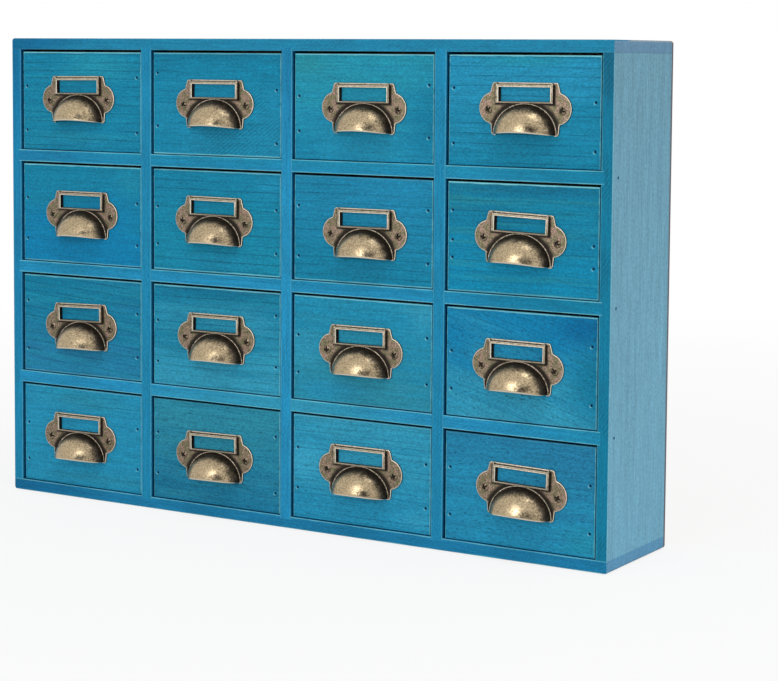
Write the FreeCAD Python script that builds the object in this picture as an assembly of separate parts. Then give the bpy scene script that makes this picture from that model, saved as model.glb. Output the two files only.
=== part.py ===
"""Sewing thread drawer cabinet: a shallow nailed case with a grid of small drawers.

Units are millimetres. +X is to the right as one faces the drawers, +Y is to the back and
+Z is up. The origin is the middle of the case's underside.
"""
import FreeCAD, Part
import math
import os

Vector = FreeCAD.Vector
RIGHT = Vector(1, 0, 0)
BACK = Vector(0, 1, 0)
UP = Vector(0, 0, 1)

# The case, without its drawers.
CASE_WIDTH = 600.0
CASE_HEIGHT = 411.5
CASE_DEPTH = 105.0          # front edge of the boards to their back edge
CASE_BOARD = 10.0           # thickness of the top, the bottom and both sides
LATTICE_BOARD = 10.5        # thickness of the dividers and the shelves
BACK_PANEL = 3.0            # plywood planted on the back edges
COLUMNS = 4
ROWS = 4
HOUSING_DEPTH = 2.5         # how far a lattice board's ends are let into the case boards
LAP_CLEARANCE = 0.05        # on each side of a divider in its slot in a shelf
CORNER_ROUND = 2.5          # outer corners of the case, seen from the front
CASE_ARRIS = 0.9            # the case's other outer edges, sanded after assembly
BOARD_ARRIS = 0.4           # the eased edges of one board

# The drawers.
DRAWER_SIDE_GAP = 1.65      # at each side of a drawer in its opening
DRAWER_TOP_GAP = 2.0
DRAWER_UNDER_GAP = 0.3      # running clearance over the shelf
DRAWER_RECESS = 1.9         # the drawer's face stands this far behind the case's front edge
DRAWER_BACK_GAP = 3.0       # behind a closed drawer
FRONT_BOARD = 10.0
SIDE_BOARD = 9.0
REAR_BOARD = 8.0
DRAWER_BOTTOM = 3.0         # plywood, held in grooves on four sides
GROOVE_DEPTH = 3.0
GROOVE_LIFT = 4.0           # lower edge of the drawer to the groove
SIDE_DROP = 3.0             # the sides and the rear board stop this far below the front's top
FRONT_ARRIS = 0.8           # the worn edges round a drawer's face

# Brads: headless wire nails, punched a little below the wood's face.
BRAD_RADIUS = 0.75
BRAD_LENGTH = 18.0
PANEL_PIN_LENGTH = 9.0
BRAD_SINK = 0.35
BRAD_INSET = 9.0            # from a case board's front or back edge to its brads
PANEL_PINS_PER_SIDE = 2

# The stamped pull: a plate with a card window above and a finger cup below.
PULL_HEIGHT = 42.0
PLATE_THICKNESS = 1.2
PLATE_TOP_HALF = 28.6       # half-width at the top edge
PLATE_FOOT_HALF = 29.4      # half-width at the lower edge
UPPER_WAIST_HALF = 34.1     # half-width that the upper edges lead to, inside the ears
LOWER_WAIST_HALF = 31.5     # half-width that the lower edges lead to, inside the ears
PLATE_TOP_ROUND = 2.2
PLATE_FOOT_ROUND = 2.6
EAR_RADIUS = 12.5
EAR_REACH = 28.0            # middle of the pull to the centre of an ear
EAR_LIFT = 21.2             # lower edge of the pull to the centre of an ear
EAR_NECK_ROUND = 1.2        # the inside corners where an ear leaves the plate
CUP_HALF_WIDTH = 26.8
CUP_HEIGHT = 23.8           # lip to the top of the arch
CUP_LIFT = 0.8              # lower edge of the plate to the cup's lip at its ends
CUP_PROJECTION = 18.0       # from the wood to the front of the lip
CUP_WALL = 1.2
LIP_BOW = 2.0               # rise of the lip in the middle
FRAME_HALF_WIDTH = 25.0     # the raised card frame
FRAME_HEIGHT = 14.7
FRAME_DROP = 2.0            # upper edge of the plate to the frame's upper rail
FRAME_RAISE = 2.0           # the frame's face stands this far off the plate
CARD_GAP = 0.8              # the slot behind the frame that takes the card
FRAME_SIDE_RAIL = 2.25
FRAME_TOP_RAIL = 2.2
FRAME_FOOT_RAIL = 1.5
FRAME_POST = 1.1            # metal beside and under the card
CARD_LEDGE = 1.0            # width of the ledge under and beside the card
SCREW_SPREAD = 32.55        # middle of the pull to a screw
SCREW_LIFT = 20.1           # lower edge of the pull to a screw
SCREW_HEAD_RADIUS = 3.2
SCREW_HEAD_HEIGHT = 1.0
SCREW_SHANK_RADIUS = 1.5
SCREW_LENGTH = 9.5          # under the head
SCREW_HOLE_CLEARANCE = 0.2  # round the shank in the plate
RECESS_SPAN = 3.8           # the crossed recess in a screw's head
RECESS_WIDTH = 0.9
RECESS_DEPTH = 0.8
PULL_RAISE = 0.8            # the pull's middle stands this far above the drawer's

# How each pull was fitted by eye, row by row: mm to the right, mm up, degrees clockwise.
PULL_FIT = (
    (-2.7, 1.3, -0.5), (-1.0, -0.3, 0.0), (1.2, -1.1, 0.0), (1.8, 1.2, 0.0),
    (0.8, -0.6, 0.0), (-1.7, 0.5, 0.4), (2.7, -2.9, -0.2), (-1.1, 0.0, 1.8),
    (-0.5, -0.4, -1.5), (0.5, 0.3, -0.2), (-0.5, 0.6, -0.2), (-2.0, -0.2, 0.3),
    (-2.0, 0.0, -0.4), (-1.0, -2.0, -1.0), (0.0, 1.2, -0.2), (2.4, 1.5, 1.5),
)

# Heights of the brads in each drawer's face as shares of the face's height, row by row:
# those on the left, then those on the right.
FACE_BRADS = (
    ((0.65, 0.20), (0.75, 0.20)), ((0.80, 0.28), (0.65, 0.14)),
    ((0.60, 0.27), (0.72, 0.24)), ((0.70, 0.20), (0.59, 0.16)),
    ((0.65, 0.23), (0.64, 0.22)), ((0.63, 0.26), (0.65, 0.23)),
    ((0.71, 0.23), (0.72, 0.23)), ((0.74, 0.47, 0.31), (0.48, 0.28)),
    ((0.73, 0.23), (0.68, 0.24)), ((0.64, 0.23), (0.78, 0.28)),
    ((0.62, 0.26), (0.69, 0.26)), ((0.60, 0.25), (0.74, 0.22)),
    ((0.60, 0.22), (0.66, 0.25)), ((0.66, 0.25), (0.75, 0.20)),
    ((0.68, 0.29), (0.66, 0.25)), ((0.67, 0.23), (0.65, 0.22)),
)
REAR_BRADS = (0.70, 0.25)   # the same shares at the back of every drawer

# Worked out from the sizes above.
HALF_WIDTH = CASE_WIDTH / 2
WHOLE_DEPTH = CASE_DEPTH + BACK_PANEL
CASE_FRONT = -WHOLE_DEPTH / 2
BOARDS_BACK = CASE_FRONT + CASE_DEPTH
CASE_BACK = BOARDS_BACK + BACK_PANEL
INNER_HALF = HALF_WIDTH - CASE_BOARD
INNER_FLOOR = CASE_BOARD
INNER_CEILING = CASE_HEIGHT - CASE_BOARD
LAP_DEPTH = CASE_DEPTH / 2
LAP_LINE = CASE_FRONT + LAP_DEPTH
OPENING_WIDTH = (2 * INNER_HALF - (COLUMNS - 1) * LATTICE_BOARD) / COLUMNS
OPENING_HEIGHT = (INNER_CEILING - INNER_FLOOR - (ROWS - 1) * LATTICE_BOARD) / ROWS
DRAWER_WIDTH = OPENING_WIDTH - 2 * DRAWER_SIDE_GAP
DRAWER_HEIGHT = OPENING_HEIGHT - DRAWER_TOP_GAP - DRAWER_UNDER_GAP
DRAWER_FACE = CASE_FRONT + DRAWER_RECESS
DRAWER_LENGTH = CASE_DEPTH - DRAWER_RECESS - DRAWER_BACK_GAP


def box(x_low, x_high, y_low, y_high, z_low, z_high):
    """Return a box between two corners."""
    corner = Vector(x_low, y_low, z_low)
    return Part.makeBox(x_high - x_low, y_high - y_low, z_high - z_low, corner)


def edges_along(shape, direction, keep=lambda middle: True):
    """Return the straight edges of a shape that run along a direction and pass the test."""
    found = []
    for edge in shape.Edges:
        if not isinstance(edge.Curve, Part.Line):
            continue
        along = abs(edge.tangentAt(edge.FirstParameter).dot(direction))
        if abs(along - 1) < 1e-6 and keep(edge.CenterOfMass):
            found.append(edge)
    return found


def on_front(shape):
    """Return a test that is true for a point on the front of the shape."""
    front = shape.BoundBox.YMin
    return lambda middle: abs(middle.y - front) < 1e-6


def opening_left(column):
    """Return the x of an opening's left wall."""
    return -INNER_HALF + column * (OPENING_WIDTH + LATTICE_BOARD)


def opening_floor(row):
    """Return the z of an opening's floor. Row 0 is the top row."""
    return INNER_CEILING - OPENING_HEIGHT - row * (OPENING_HEIGHT + LATTICE_BOARD)


def case_envelope():
    """Return the whole case as one block with its outer edges sanded round."""
    block = box(-HALF_WIDTH, HALF_WIDTH, CASE_FRONT, CASE_BACK, 0, CASE_HEIGHT)
    block = block.makeFillet(CORNER_ROUND, edges_along(block, BACK))
    rim = [edge for edge in block.Edges if on_front(block)(edge.CenterOfMass)]
    return block.makeFillet(CASE_ARRIS, rim)


def brad(point, direction, length):
    """Return a brad punched below the point and driven along the direction."""
    return Part.makeCylinder(BRAD_RADIUS, length, point + direction * BRAD_SINK, direction)


def brad_hole(point, direction, length):
    """Return the hole that a brad of the same place lies in, open to the face."""
    return Part.makeCylinder(BRAD_RADIUS, BRAD_SINK + length, point, direction)


def lattice_x(divider):
    """Return the x of the middle of a divider."""
    return opening_left(divider) + OPENING_WIDTH + LATTICE_BOARD / 2


def lattice_z(shelf):
    """Return the z of the middle of a shelf."""
    return opening_floor(shelf) - LATTICE_BOARD / 2


def case_brad_places():
    """Return the point, direction and length of every brad in the case."""
    places = []
    front_and_back = (CASE_FRONT + BRAD_INSET, BOARDS_BACK - BRAD_INSET)
    for side in (-1, 1):
        for shelf in range(ROWS - 1):
            point = Vector(side * HALF_WIDTH, front_and_back[0], lattice_z(shelf))
            places.append((point, RIGHT * -side, BRAD_LENGTH))
    columns = [lattice_x(divider) for divider in range(COLUMNS - 1)]
    corners = [-HALF_WIDTH + CASE_BOARD / 2, HALF_WIDTH - CASE_BOARD / 2]
    for z, direction in ((0, UP), (CASE_HEIGHT, -UP)):
        for x in columns + corners:
            for y in front_and_back:
                places.append((Vector(x, y, z), direction, BRAD_LENGTH))
    for x in columns:
        for z in (CASE_BOARD / 2, CASE_HEIGHT - CASE_BOARD / 2):
            places.append((Vector(x, CASE_BACK, z), -BACK, PANEL_PIN_LENGTH))
    for x in corners:
        for step in range(PANEL_PINS_PER_SIDE):
            z = CASE_HEIGHT * (step + 1) / (PANEL_PINS_PER_SIDE + 1)
            places.append((Vector(x, CASE_BACK, z), -BACK, PANEL_PIN_LENGTH))
    return places


def bored(shape, places):
    """Return a shape with a hole for each brad that reaches it."""
    bores = [brad_hole(*place) for place in places]
    reached = [bore for bore in bores if bore.BoundBox.intersect(shape.BoundBox)]
    return shape.cut(Part.makeCompound(reached)) if reached else shape


def housing(x_low, x_high, z_low, z_high):
    """Return the block that cuts a housing through a case board from front to back."""
    return box(x_low, x_high, CASE_FRONT, BOARDS_BACK, z_low, z_high)


def divider_block(divider):
    """Return a divider before its slots are cut, with its front edges eased."""
    middle = lattice_x(divider)
    block = box(middle - LATTICE_BOARD / 2, middle + LATTICE_BOARD / 2, CASE_FRONT, BOARDS_BACK,
                INNER_FLOOR - HOUSING_DEPTH, INNER_CEILING + HOUSING_DEPTH)
    return block.makeFillet(BOARD_ARRIS, edges_along(block, UP, on_front(block)))


def shelf_block(shelf):
    """Return a shelf before its slots are cut, with its front edges eased."""
    middle = lattice_z(shelf)
    block = box(-INNER_HALF - HOUSING_DEPTH, INNER_HALF + HOUSING_DEPTH, CASE_FRONT, BOARDS_BACK,
                middle - LATTICE_BOARD / 2, middle + LATTICE_BOARD / 2)
    return block.makeFillet(BOARD_ARRIS, edges_along(block, RIGHT, on_front(block)))


def dividers(places):
    """Return the upright lattice boards, whole in front and slotted from behind."""
    boards = []
    for divider in range(COLUMNS - 1):
        board = divider_block(divider)
        box_of = board.BoundBox
        for shelf in range(ROWS - 1):
            middle = lattice_z(shelf)
            board = board.cut(box(box_of.XMin, box_of.XMax, LAP_LINE, BOARDS_BACK,
                                  middle - LATTICE_BOARD / 2, middle + LATTICE_BOARD / 2))
        boards.append(bored(board, places))
    return boards


def shelves(places):
    """Return the level lattice boards, slotted from the front to take the dividers."""
    half_slot = LATTICE_BOARD / 2 + LAP_CLEARANCE
    boards = []
    for shelf in range(ROWS - 1):
        board = shelf_block(shelf)
        box_of = board.BoundBox
        for divider in range(COLUMNS - 1):
            middle = lattice_x(divider)
            board = board.cut(box(middle - half_slot, middle + half_slot, CASE_FRONT, LAP_LINE,
                                  box_of.ZMin, box_of.ZMax))
        boards.append(bored(board, places))
    return boards


def level_case_board(envelope, z_low, z_high, inner_face, places):
    """Return the top or bottom board, housed for the dividers on its inner face."""
    board = box(-HALF_WIDTH, HALF_WIDTH, CASE_FRONT, BOARDS_BACK, z_low, z_high)
    board = board.common(envelope)
    inner_edges = edges_along(board, RIGHT, lambda middle: abs(middle.z - inner_face) < 1e-6
                              and abs(middle.y - CASE_FRONT) < 1e-6)
    board = board.makeFillet(BOARD_ARRIS, inner_edges)
    for divider in range(COLUMNS - 1):
        middle = lattice_x(divider)
        board = board.cut(housing(middle - LATTICE_BOARD / 2, middle + LATTICE_BOARD / 2,
                                  inner_face - HOUSING_DEPTH, inner_face + HOUSING_DEPTH))
    return bored(board, places)


def upright_case_board(envelope, side, places):
    """Return a side board, housed for the shelves. Side is -1 on the left and 1 on the right."""
    inner_face = side * INNER_HALF
    low, high = sorted((inner_face, side * HALF_WIDTH))
    board = box(low, high, CASE_FRONT, BOARDS_BACK, INNER_FLOOR, INNER_CEILING)
    board = board.common(envelope)
    inner_edges = edges_along(board, UP, lambda middle: abs(middle.x - inner_face) < 1e-6
                              and abs(middle.y - CASE_FRONT) < 1e-6)
    board = board.makeFillet(BOARD_ARRIS, inner_edges)
    for shelf in range(ROWS - 1):
        middle = lattice_z(shelf)
        board = board.cut(housing(inner_face - HOUSING_DEPTH, inner_face + HOUSING_DEPTH,
                                  middle - LATTICE_BOARD / 2, middle + LATTICE_BOARD / 2))
    return bored(board, places)


def back_panel(envelope, places):
    """Return the plywood back, planted on the case boards."""
    panel = box(-HALF_WIDTH, HALF_WIDTH, BOARDS_BACK, CASE_BACK, 0, CASE_HEIGHT)
    return bored(panel.common(envelope), places)


def drawer_brad_places(number):
    """Return the point, direction and length of each brad in a drawer at its own origin."""
    middles = (SIDE_BOARD / 2, DRAWER_WIDTH - SIDE_BOARD / 2)
    places = []
    for x, shares in zip(middles, FACE_BRADS[number % len(FACE_BRADS)]):
        for share in shares:
            places.append((Vector(x, 0, share * DRAWER_HEIGHT), BACK, BRAD_LENGTH))
    for x in middles:
        for share in REAR_BRADS:
            places.append((Vector(x, DRAWER_LENGTH, share * DRAWER_HEIGHT), -BACK, BRAD_LENGTH))
    return places


def drawer_bottom():
    """Return the plywood bottom, its edges in the grooves of the four boards round it."""
    return box(SIDE_BOARD - GROOVE_DEPTH, DRAWER_WIDTH - SIDE_BOARD + GROOVE_DEPTH,
               FRONT_BOARD - GROOVE_DEPTH, DRAWER_LENGTH - REAR_BOARD + GROOVE_DEPTH,
               GROOVE_LIFT, GROOVE_LIFT + DRAWER_BOTTOM)


def drawer_front(places, screw_points):
    """Return a drawer's front board, with the edges round its face eased."""
    board = box(0, DRAWER_WIDTH, 0, FRONT_BOARD, 0, DRAWER_HEIGHT)
    rim = [edge for edge in board.Edges if on_front(board)(edge.CenterOfMass)]
    board = board.makeFillet(FRONT_ARRIS, rim).cut(drawer_bottom())
    pilots = [Part.makeCylinder(SCREW_SHANK_RADIUS, SCREW_LENGTH - PLATE_THICKNESS, point, BACK)
              for point in screw_points]
    return bored(board.cut(Part.makeCompound(pilots)), places)


def drawer_boards(places):
    """Return the two sides, the rear board and the bottom of a drawer."""
    top = DRAWER_HEIGHT - SIDE_DROP
    rear_face = DRAWER_LENGTH - REAR_BOARD
    bottom = drawer_bottom()
    boards = []
    for x_low in (0, DRAWER_WIDTH - SIDE_BOARD):
        side = box(x_low, x_low + SIDE_BOARD, FRONT_BOARD, rear_face, 0, top)
        side = side.makeFillet(BOARD_ARRIS, edges_along(side, BACK))
        boards.append(bored(side.cut(bottom), places))
    rear = box(0, DRAWER_WIDTH, rear_face, DRAWER_LENGTH, 0, top)
    boards.append(bored(rear.cut(bottom), places))
    boards.append(bottom)
    return boards


def pull_outline():
    """Return the pull's flat outline without its ears, standing on z = 0."""
    right = [(PLATE_FOOT_HALF, 0), (LOWER_WAIST_HALF, EAR_LIFT),
             (UPPER_WAIST_HALF, EAR_LIFT), (PLATE_TOP_HALF, PULL_HEIGHT)]
    left = [(-x, z) for x, z in reversed(right)]
    points = [Vector(x, 0, z) for x, z in right + left]
    return Part.Face(Part.makePolygon(points + points[:1]))


def at_neck(middle):
    """Say whether an upright edge of the plate is an inside corner beside an ear."""
    from_ear = math.hypot(abs(middle.x) - EAR_REACH, middle.z - EAR_LIFT)
    return abs(from_ear - EAR_RADIUS) < 1e-6 and abs(middle.x) < EAR_REACH + EAR_RADIUS / 2


def pull_plate():
    """Return the pull's plate with its two round ears and rounded corners."""
    plate = pull_outline().extrude(-BACK * PLATE_THICKNESS)
    for side in (-1, 1):
        centre = Vector(side * EAR_REACH, 0, EAR_LIFT)
        plate = plate.fuse(Part.makeCylinder(EAR_RADIUS, PLATE_THICKNESS, centre, -BACK))
    plate = plate.removeSplitter()
    plate = plate.makeFillet(EAR_NECK_ROUND, edges_along(plate, BACK, at_neck))
    top = edges_along(plate, BACK, lambda middle: abs(middle.z - PULL_HEIGHT) < 1e-6)
    plate = plate.makeFillet(PLATE_TOP_ROUND, top)
    foot = edges_along(plate, BACK, lambda middle: abs(middle.z) < 1e-6)
    return plate.makeFillet(PLATE_FOOT_ROUND, foot)


def half_ellipsoid(half_width, projection, height):
    """Return the quarter of an ellipsoid in front of the wood and above the cup's lip line."""
    ball = Part.makeSphere(1.0)
    stretch = FreeCAD.Matrix()
    stretch.scale(half_width, projection, height)
    solid = ball.transformGeometry(stretch)
    solid.translate(Vector(0, 0, CUP_LIFT))
    return solid.common(box(-half_width, half_width, -projection, 0, CUP_LIFT, CUP_LIFT + height))


def lip_cutter():
    """Return the round-topped block that leaves the cup's lip bowed upwards."""
    radius = (CUP_HALF_WIDTH ** 2 + LIP_BOW ** 2) / (2 * LIP_BOW)
    centre = Vector(0, 0, CUP_LIFT + LIP_BOW - radius)
    bar = Part.makeCylinder(radius, CUP_PROJECTION, centre, -BACK)
    return bar.common(box(-CUP_HALF_WIDTH, CUP_HALF_WIDTH, -CUP_PROJECTION, 0, 0, CUP_LIFT + LIP_BOW))


def card_frame(plate):
    """Return the plate with the raised card frame, its window and the slot for the card."""
    top = PULL_HEIGHT - FRAME_DROP
    foot = top - FRAME_HEIGHT
    face = -PLATE_THICKNESS - FRAME_RAISE
    window_half = FRAME_HALF_WIDTH - FRAME_SIDE_RAIL
    ledge_half = window_half - CARD_LEDGE
    slot_half = FRAME_HALF_WIDTH - FRAME_POST
    frame = box(-FRAME_HALF_WIDTH, FRAME_HALF_WIDTH, face, -PLATE_THICKNESS, foot, PULL_HEIGHT)
    window = box(-window_half, window_half, face, -PLATE_THICKNESS,
                 foot + FRAME_FOOT_RAIL, top - FRAME_TOP_RAIL)
    sight = box(-ledge_half, ledge_half, -PLATE_THICKNESS, 0,
                foot + FRAME_FOOT_RAIL + CARD_LEDGE, top - FRAME_TOP_RAIL)
    slot = box(-slot_half, slot_half, -PLATE_THICKNESS - CARD_GAP, -PLATE_THICKNESS,
               foot + FRAME_POST, PULL_HEIGHT)
    mouth = box(-slot_half, slot_half, face, -PLATE_THICKNESS, top, PULL_HEIGHT)
    return plate.fuse(frame).cut(Part.makeCompound([window, sight])).cut(slot).cut(mouth)


def screw_centres():
    """Return the two screw places on the pull, on the wood's face."""
    return [Vector(side * SCREW_SPREAD, 0, SCREW_LIFT) for side in (-1, 1)]


def pull():
    """Return the finished pull, standing on z = 0 with its back on the wood at y = 0."""
    plate = card_frame(pull_plate())
    outer = half_ellipsoid(CUP_HALF_WIDTH, CUP_PROJECTION, CUP_HEIGHT)
    inner = half_ellipsoid(CUP_HALF_WIDTH - CUP_WALL, CUP_PROJECTION - CUP_WALL, CUP_HEIGHT - CUP_WALL)
    stamped = plate.fuse(outer).cut(inner).cut(lip_cutter())
    holes = [Part.makeCylinder(SCREW_SHANK_RADIUS + SCREW_HOLE_CLEARANCE, PLATE_THICKNESS, centre, -BACK)
             for centre in screw_centres()]
    return stamped.cut(Part.makeCompound(holes)).removeSplitter()


def screw(centre):
    """Return a round-headed screw with a crossed recess, seated on the plate."""
    seat = centre - BACK * PLATE_THICKNESS
    crown_radius = (SCREW_HEAD_RADIUS ** 2 + SCREW_HEAD_HEIGHT ** 2) / (2 * SCREW_HEAD_HEIGHT)
    crown = Part.makeSphere(crown_radius, seat + BACK * (crown_radius - SCREW_HEAD_HEIGHT))
    head = crown.common(Part.makeCylinder(SCREW_HEAD_RADIUS, SCREW_HEAD_HEIGHT, seat, -BACK))
    shank = Part.makeCylinder(SCREW_SHANK_RADIUS, SCREW_LENGTH, seat, BACK)
    recess_face = seat.y - SCREW_HEAD_HEIGHT
    half_span = RECESS_SPAN / 2
    half_width = RECESS_WIDTH / 2
    across = box(centre.x - half_span, centre.x + half_span, recess_face, recess_face + RECESS_DEPTH,
                 centre.z - half_width, centre.z + half_width)
    upright = box(centre.x - half_width, centre.x + half_width, recess_face, recess_face + RECESS_DEPTH,
                  centre.z - half_span, centre.z + half_span)
    return head.fuse(shank).cut(across.fuse(upright)).removeSplitter()


def fitted(shape, fit):
    """Return a copy of a pull's piece, moved to its place on a drawer and tilted by hand."""
    right, up, clockwise = fit
    placed = shape.copy()
    middle = Vector(0, 0, PULL_HEIGHT / 2)
    placed.rotate(middle, BACK, clockwise)
    placed.translate(Vector(DRAWER_WIDTH / 2 + right, 0,
                            DRAWER_HEIGHT / 2 + PULL_RAISE + up - PULL_HEIGHT / 2))
    return placed


def drawer(number, pull_shape, screw_shapes):
    """Return a drawer's boards, pull and fasteners by node name, at the drawer's own origin."""
    fit = PULL_FIT[number % len(PULL_FIT)]
    places = drawer_brad_places(number)
    screw_points = [fitted(Part.Vertex(centre), fit).Point for centre in screw_centres()]
    return {
        "box": [drawer_front(places, screw_points)] + drawer_boards(places),
        "pull": [fitted(pull_shape, fit)],
        "fasteners": [fitted(shape, fit) for shape in screw_shapes] + [brad(*place) for place in places],
    }


def export(name, solids):
    """Write one node's solids to its STEP file."""
    shape = solids[0] if len(solids) == 1 else Part.makeCompound(solids)
    shape.exportStep(os.path.join("parts", name + ".step"))


def export_case():
    """Build and write the case's nodes."""
    places = case_brad_places()
    envelope = case_envelope()
    export("top_board", [level_case_board(envelope, INNER_CEILING, CASE_HEIGHT, INNER_CEILING, places)])
    export("bottom_board", [level_case_board(envelope, 0, INNER_FLOOR, INNER_FLOOR, places)])
    export("left_side", [upright_case_board(envelope, -1, places)])
    export("right_side", [upright_case_board(envelope, 1, places)])
    for number, board in enumerate(dividers(places), 1):
        export("divider_%d" % number, [board])
    for number, board in enumerate(shelves(places), 1):
        export("shelf_%d" % number, [board])
    export("back_panel", [back_panel(envelope, places)])
    export("case_brads", [brad(*place) for place in places])


def export_drawers():
    """Build and write the three nodes of every drawer."""
    pull_shape = pull()
    screw_shapes = [screw(centre) for centre in screw_centres()]
    for row in range(ROWS):
        for column in range(COLUMNS):
            corner = Vector(opening_left(column) + DRAWER_SIDE_GAP, DRAWER_FACE,
                            opening_floor(row) + DRAWER_UNDER_GAP)
            pieces = drawer(row * COLUMNS + column, pull_shape, screw_shapes)
            for name, solids in pieces.items():
                for solid in solids:
                    solid.translate(corner)
                export("drawer_r%dc%d_%s" % (row + 1, column + 1, name), solids)


os.makedirs("parts", exist_ok=True)
export_case()
export_drawers()
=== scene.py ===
"""Dresses the sewing thread drawer cabinet: blue-stained boards, bronze pulls, screws and brads."""
import logging
import math
from dataclasses import dataclass, field, replace
from enum import Enum
from typing import Any, ClassVar, Iterable, Mapping, Optional, Sequence, Union

import bmesh
import bpy
from bpy.types import Material, Mesh, Node, NodeSocket, NodeTree, Object
from mathutils import Euler, Matrix, Vector
from mathutils.geometry import delaunay_2d_cdt, intersect_line_sphere_2d


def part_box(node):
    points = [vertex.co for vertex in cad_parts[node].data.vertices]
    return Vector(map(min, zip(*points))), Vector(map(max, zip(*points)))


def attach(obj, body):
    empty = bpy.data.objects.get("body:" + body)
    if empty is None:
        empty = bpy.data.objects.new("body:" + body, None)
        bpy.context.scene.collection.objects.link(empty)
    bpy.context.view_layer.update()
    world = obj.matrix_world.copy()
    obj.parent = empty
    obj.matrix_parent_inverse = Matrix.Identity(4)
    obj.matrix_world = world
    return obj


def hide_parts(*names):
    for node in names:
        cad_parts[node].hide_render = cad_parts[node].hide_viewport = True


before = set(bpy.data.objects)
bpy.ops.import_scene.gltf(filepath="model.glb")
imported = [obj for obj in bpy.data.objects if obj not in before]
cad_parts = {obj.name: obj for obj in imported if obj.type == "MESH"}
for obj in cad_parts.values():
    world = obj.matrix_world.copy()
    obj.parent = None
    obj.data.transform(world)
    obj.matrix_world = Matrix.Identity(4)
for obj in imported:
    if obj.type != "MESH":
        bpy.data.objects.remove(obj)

LOG = logging.getLogger("cabinet")
MM = 0.001
# A Wave texture of scale 1 repeats after this length.
WAVE_BAND = math.tau / 20

Link = Union[Node, NodeSocket]
Value = Union[Link, float]
Colour = tuple[float, float, float, float]
Point2 = tuple[float, float]
Size = tuple[float, float]
Place = tuple[float, float, float]
Mark = tuple[float, float, float]

WHITE: Colour = (1.0, 1.0, 1.0, 1.0)


def linear(hex_colour: str) -> Colour:
    """Turns an sRGB hex colour into the linear colour that a shader takes.

    Args:
        hex_colour: Six hex digits after a hash sign.

    Returns:
        Red, green and blue in linear light, and an alpha of 1.
    """
    parts = [int(hex_colour[i:i + 2], 16) / 255 for i in (1, 3, 5)]
    red, green, blue = (c / 12.92 if c <= 0.04045 else ((c + 0.055) / 1.055) ** 2.4 for c in parts)
    return red, green, blue, 1.0


def add_node(tree: NodeTree, kind: str, inputs: Optional[Mapping[Union[int, str], Any]] = None,
             **settings: Any) -> Node:
    """Adds a node to a tree, with its settings and its inputs.

    Args:
        tree: The shader or geometry tree.
        kind: Blender's name for the node.
        inputs: What goes into each input, by its name or its number among the inputs in use. A
            node or a socket is linked, and anything else is set on the input itself.
        settings: The node's own properties.

    Returns:
        The new node.
    """
    node = tree.nodes.new(kind)
    for name, value in settings.items():
        setattr(node, name, value)
    in_use = [socket for socket in node.inputs if socket.enabled]
    by_name = {socket.name: socket for socket in reversed(in_use)}
    for key, value in (inputs or {}).items():
        socket = in_use[key] if isinstance(key, int) else by_name[key]
        if isinstance(value, Node):
            value = next(out for out in value.outputs if out.enabled)
        if isinstance(value, NodeSocket):
            tree.links.new(value, socket)
        else:
            socket.default_value = value
    return node


def new_material(name: str) -> tuple[Material, NodeTree]:
    """Makes an empty node material.

    Args:
        name: The material's name.

    Returns:
        The material and its node tree.
    """
    material = bpy.data.materials.new(name)
    material.use_nodes = True
    material.node_tree.nodes.clear()
    return material, material.node_tree


def place_in_mm(tree: NodeTree) -> Node:
    """Returns the place on the piece in millimetres, from its Object coordinates."""
    place = add_node(tree, "ShaderNodeTexCoord")
    return add_node(tree, "ShaderNodeVectorMath", {0: place.outputs["Object"], "Scale": 1 / MM},
                    operation="SCALE")


def coated(tree: NodeTree, colour: Union[Link, Colour],
           coats: Iterable[tuple[Link, float, Union[Link, Colour]]]) -> Node:
    """Lays coats over a colour, one above the other.

    Args:
        tree: The material's tree.
        colour: The colour underneath.
        coats: The mask, the strength and the colour of each coat, from the lowest up.

    Returns:
        The node that holds the colour that shows.
    """
    for mask, strength, coat in coats:
        cover = add_node(tree, "ShaderNodeMath", {0: mask, 1: strength}, operation="MULTIPLY")
        colour = add_node(tree, "ShaderNodeMix", {0: cover, 1: colour, 2: coat}, data_type="RGBA")
    return colour


def linked_object(name: str, data: bpy.types.ID) -> Object:
    """Makes an object at the origin and links it to the scene.

    Args:
        name: The object's name.
        data: Its mesh, lamp or camera.

    Returns:
        The object.
    """
    made = bpy.data.objects.new(name, data)
    bpy.context.scene.collection.objects.link(made)
    return made


class Grain(Enum):
    """The way the fibres of a board run, as the order of the axes along, across and through it."""

    LEVEL = ("X", "Z", "Y")
    UPRIGHT = ("Z", "X", "Y")


class Stain(Enum):
    """The tones that one blue stain takes on different boards, with the painted sheen of the case's outer
    sides and the painted shade of the gaps.
    """

    GREEN_TEAL = "#218DA5"
    OLIVE_TEAL = "#278997"
    TEAL = "#127E9F"
    SEA = "#1484A1"
    MID_TEAL = "#1C88AB"
    SKY_TEAL = "#228CB1"
    CLEAR_BLUE = "#0C85AB"
    BLUE = "#0B7CA9"
    DEEP_TEAL = "#0E7899"
    DARK_TEAL = "#116583"
    DARK_BLUE = "#006596"
    PALE_TEAL = "#3195B3"
    LIGHT_TEAL = "#3AA2C2"
    OLD_TEAL = "#29879E"
    SLATE = "#21799F"
    MUTED = "#1B7799"
    NIGHT = "#0A5878"
    FRAME_BLUE = "#1C84AC"
    FRAME_PALE = "#228CB8"
    DEEP_FRAME = "#0E6692"
    FOOT_RAIL = "#1A7AA4"
    LEFT_RAIL = "#157BA8"
    TOP_RAIL = "#1E80A4"
    HAZE = "#1D83A9"
    # Painted sheen: the case's outer sides are painted paler than their stain.
    WASHED = "#6A96A9"
    WASHED_FOOT = "#71A8C0"
    WASHED_END = "#6083A0"
    WASHED_END_FOOT = "#568DB2"
    LINE = "#06435F"
    # Painted shade: the dark tones of the gaps, the brads' holes and the eased lower edges. In the gaps
    # they are partly the darker stain of the boards' edges.
    GAP = "#064B74"
    GAP_WALL = "#07507A"

    @property
    def colour(self) -> Colour:
        """The tone in linear light."""
        return linear(self.value)


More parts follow.
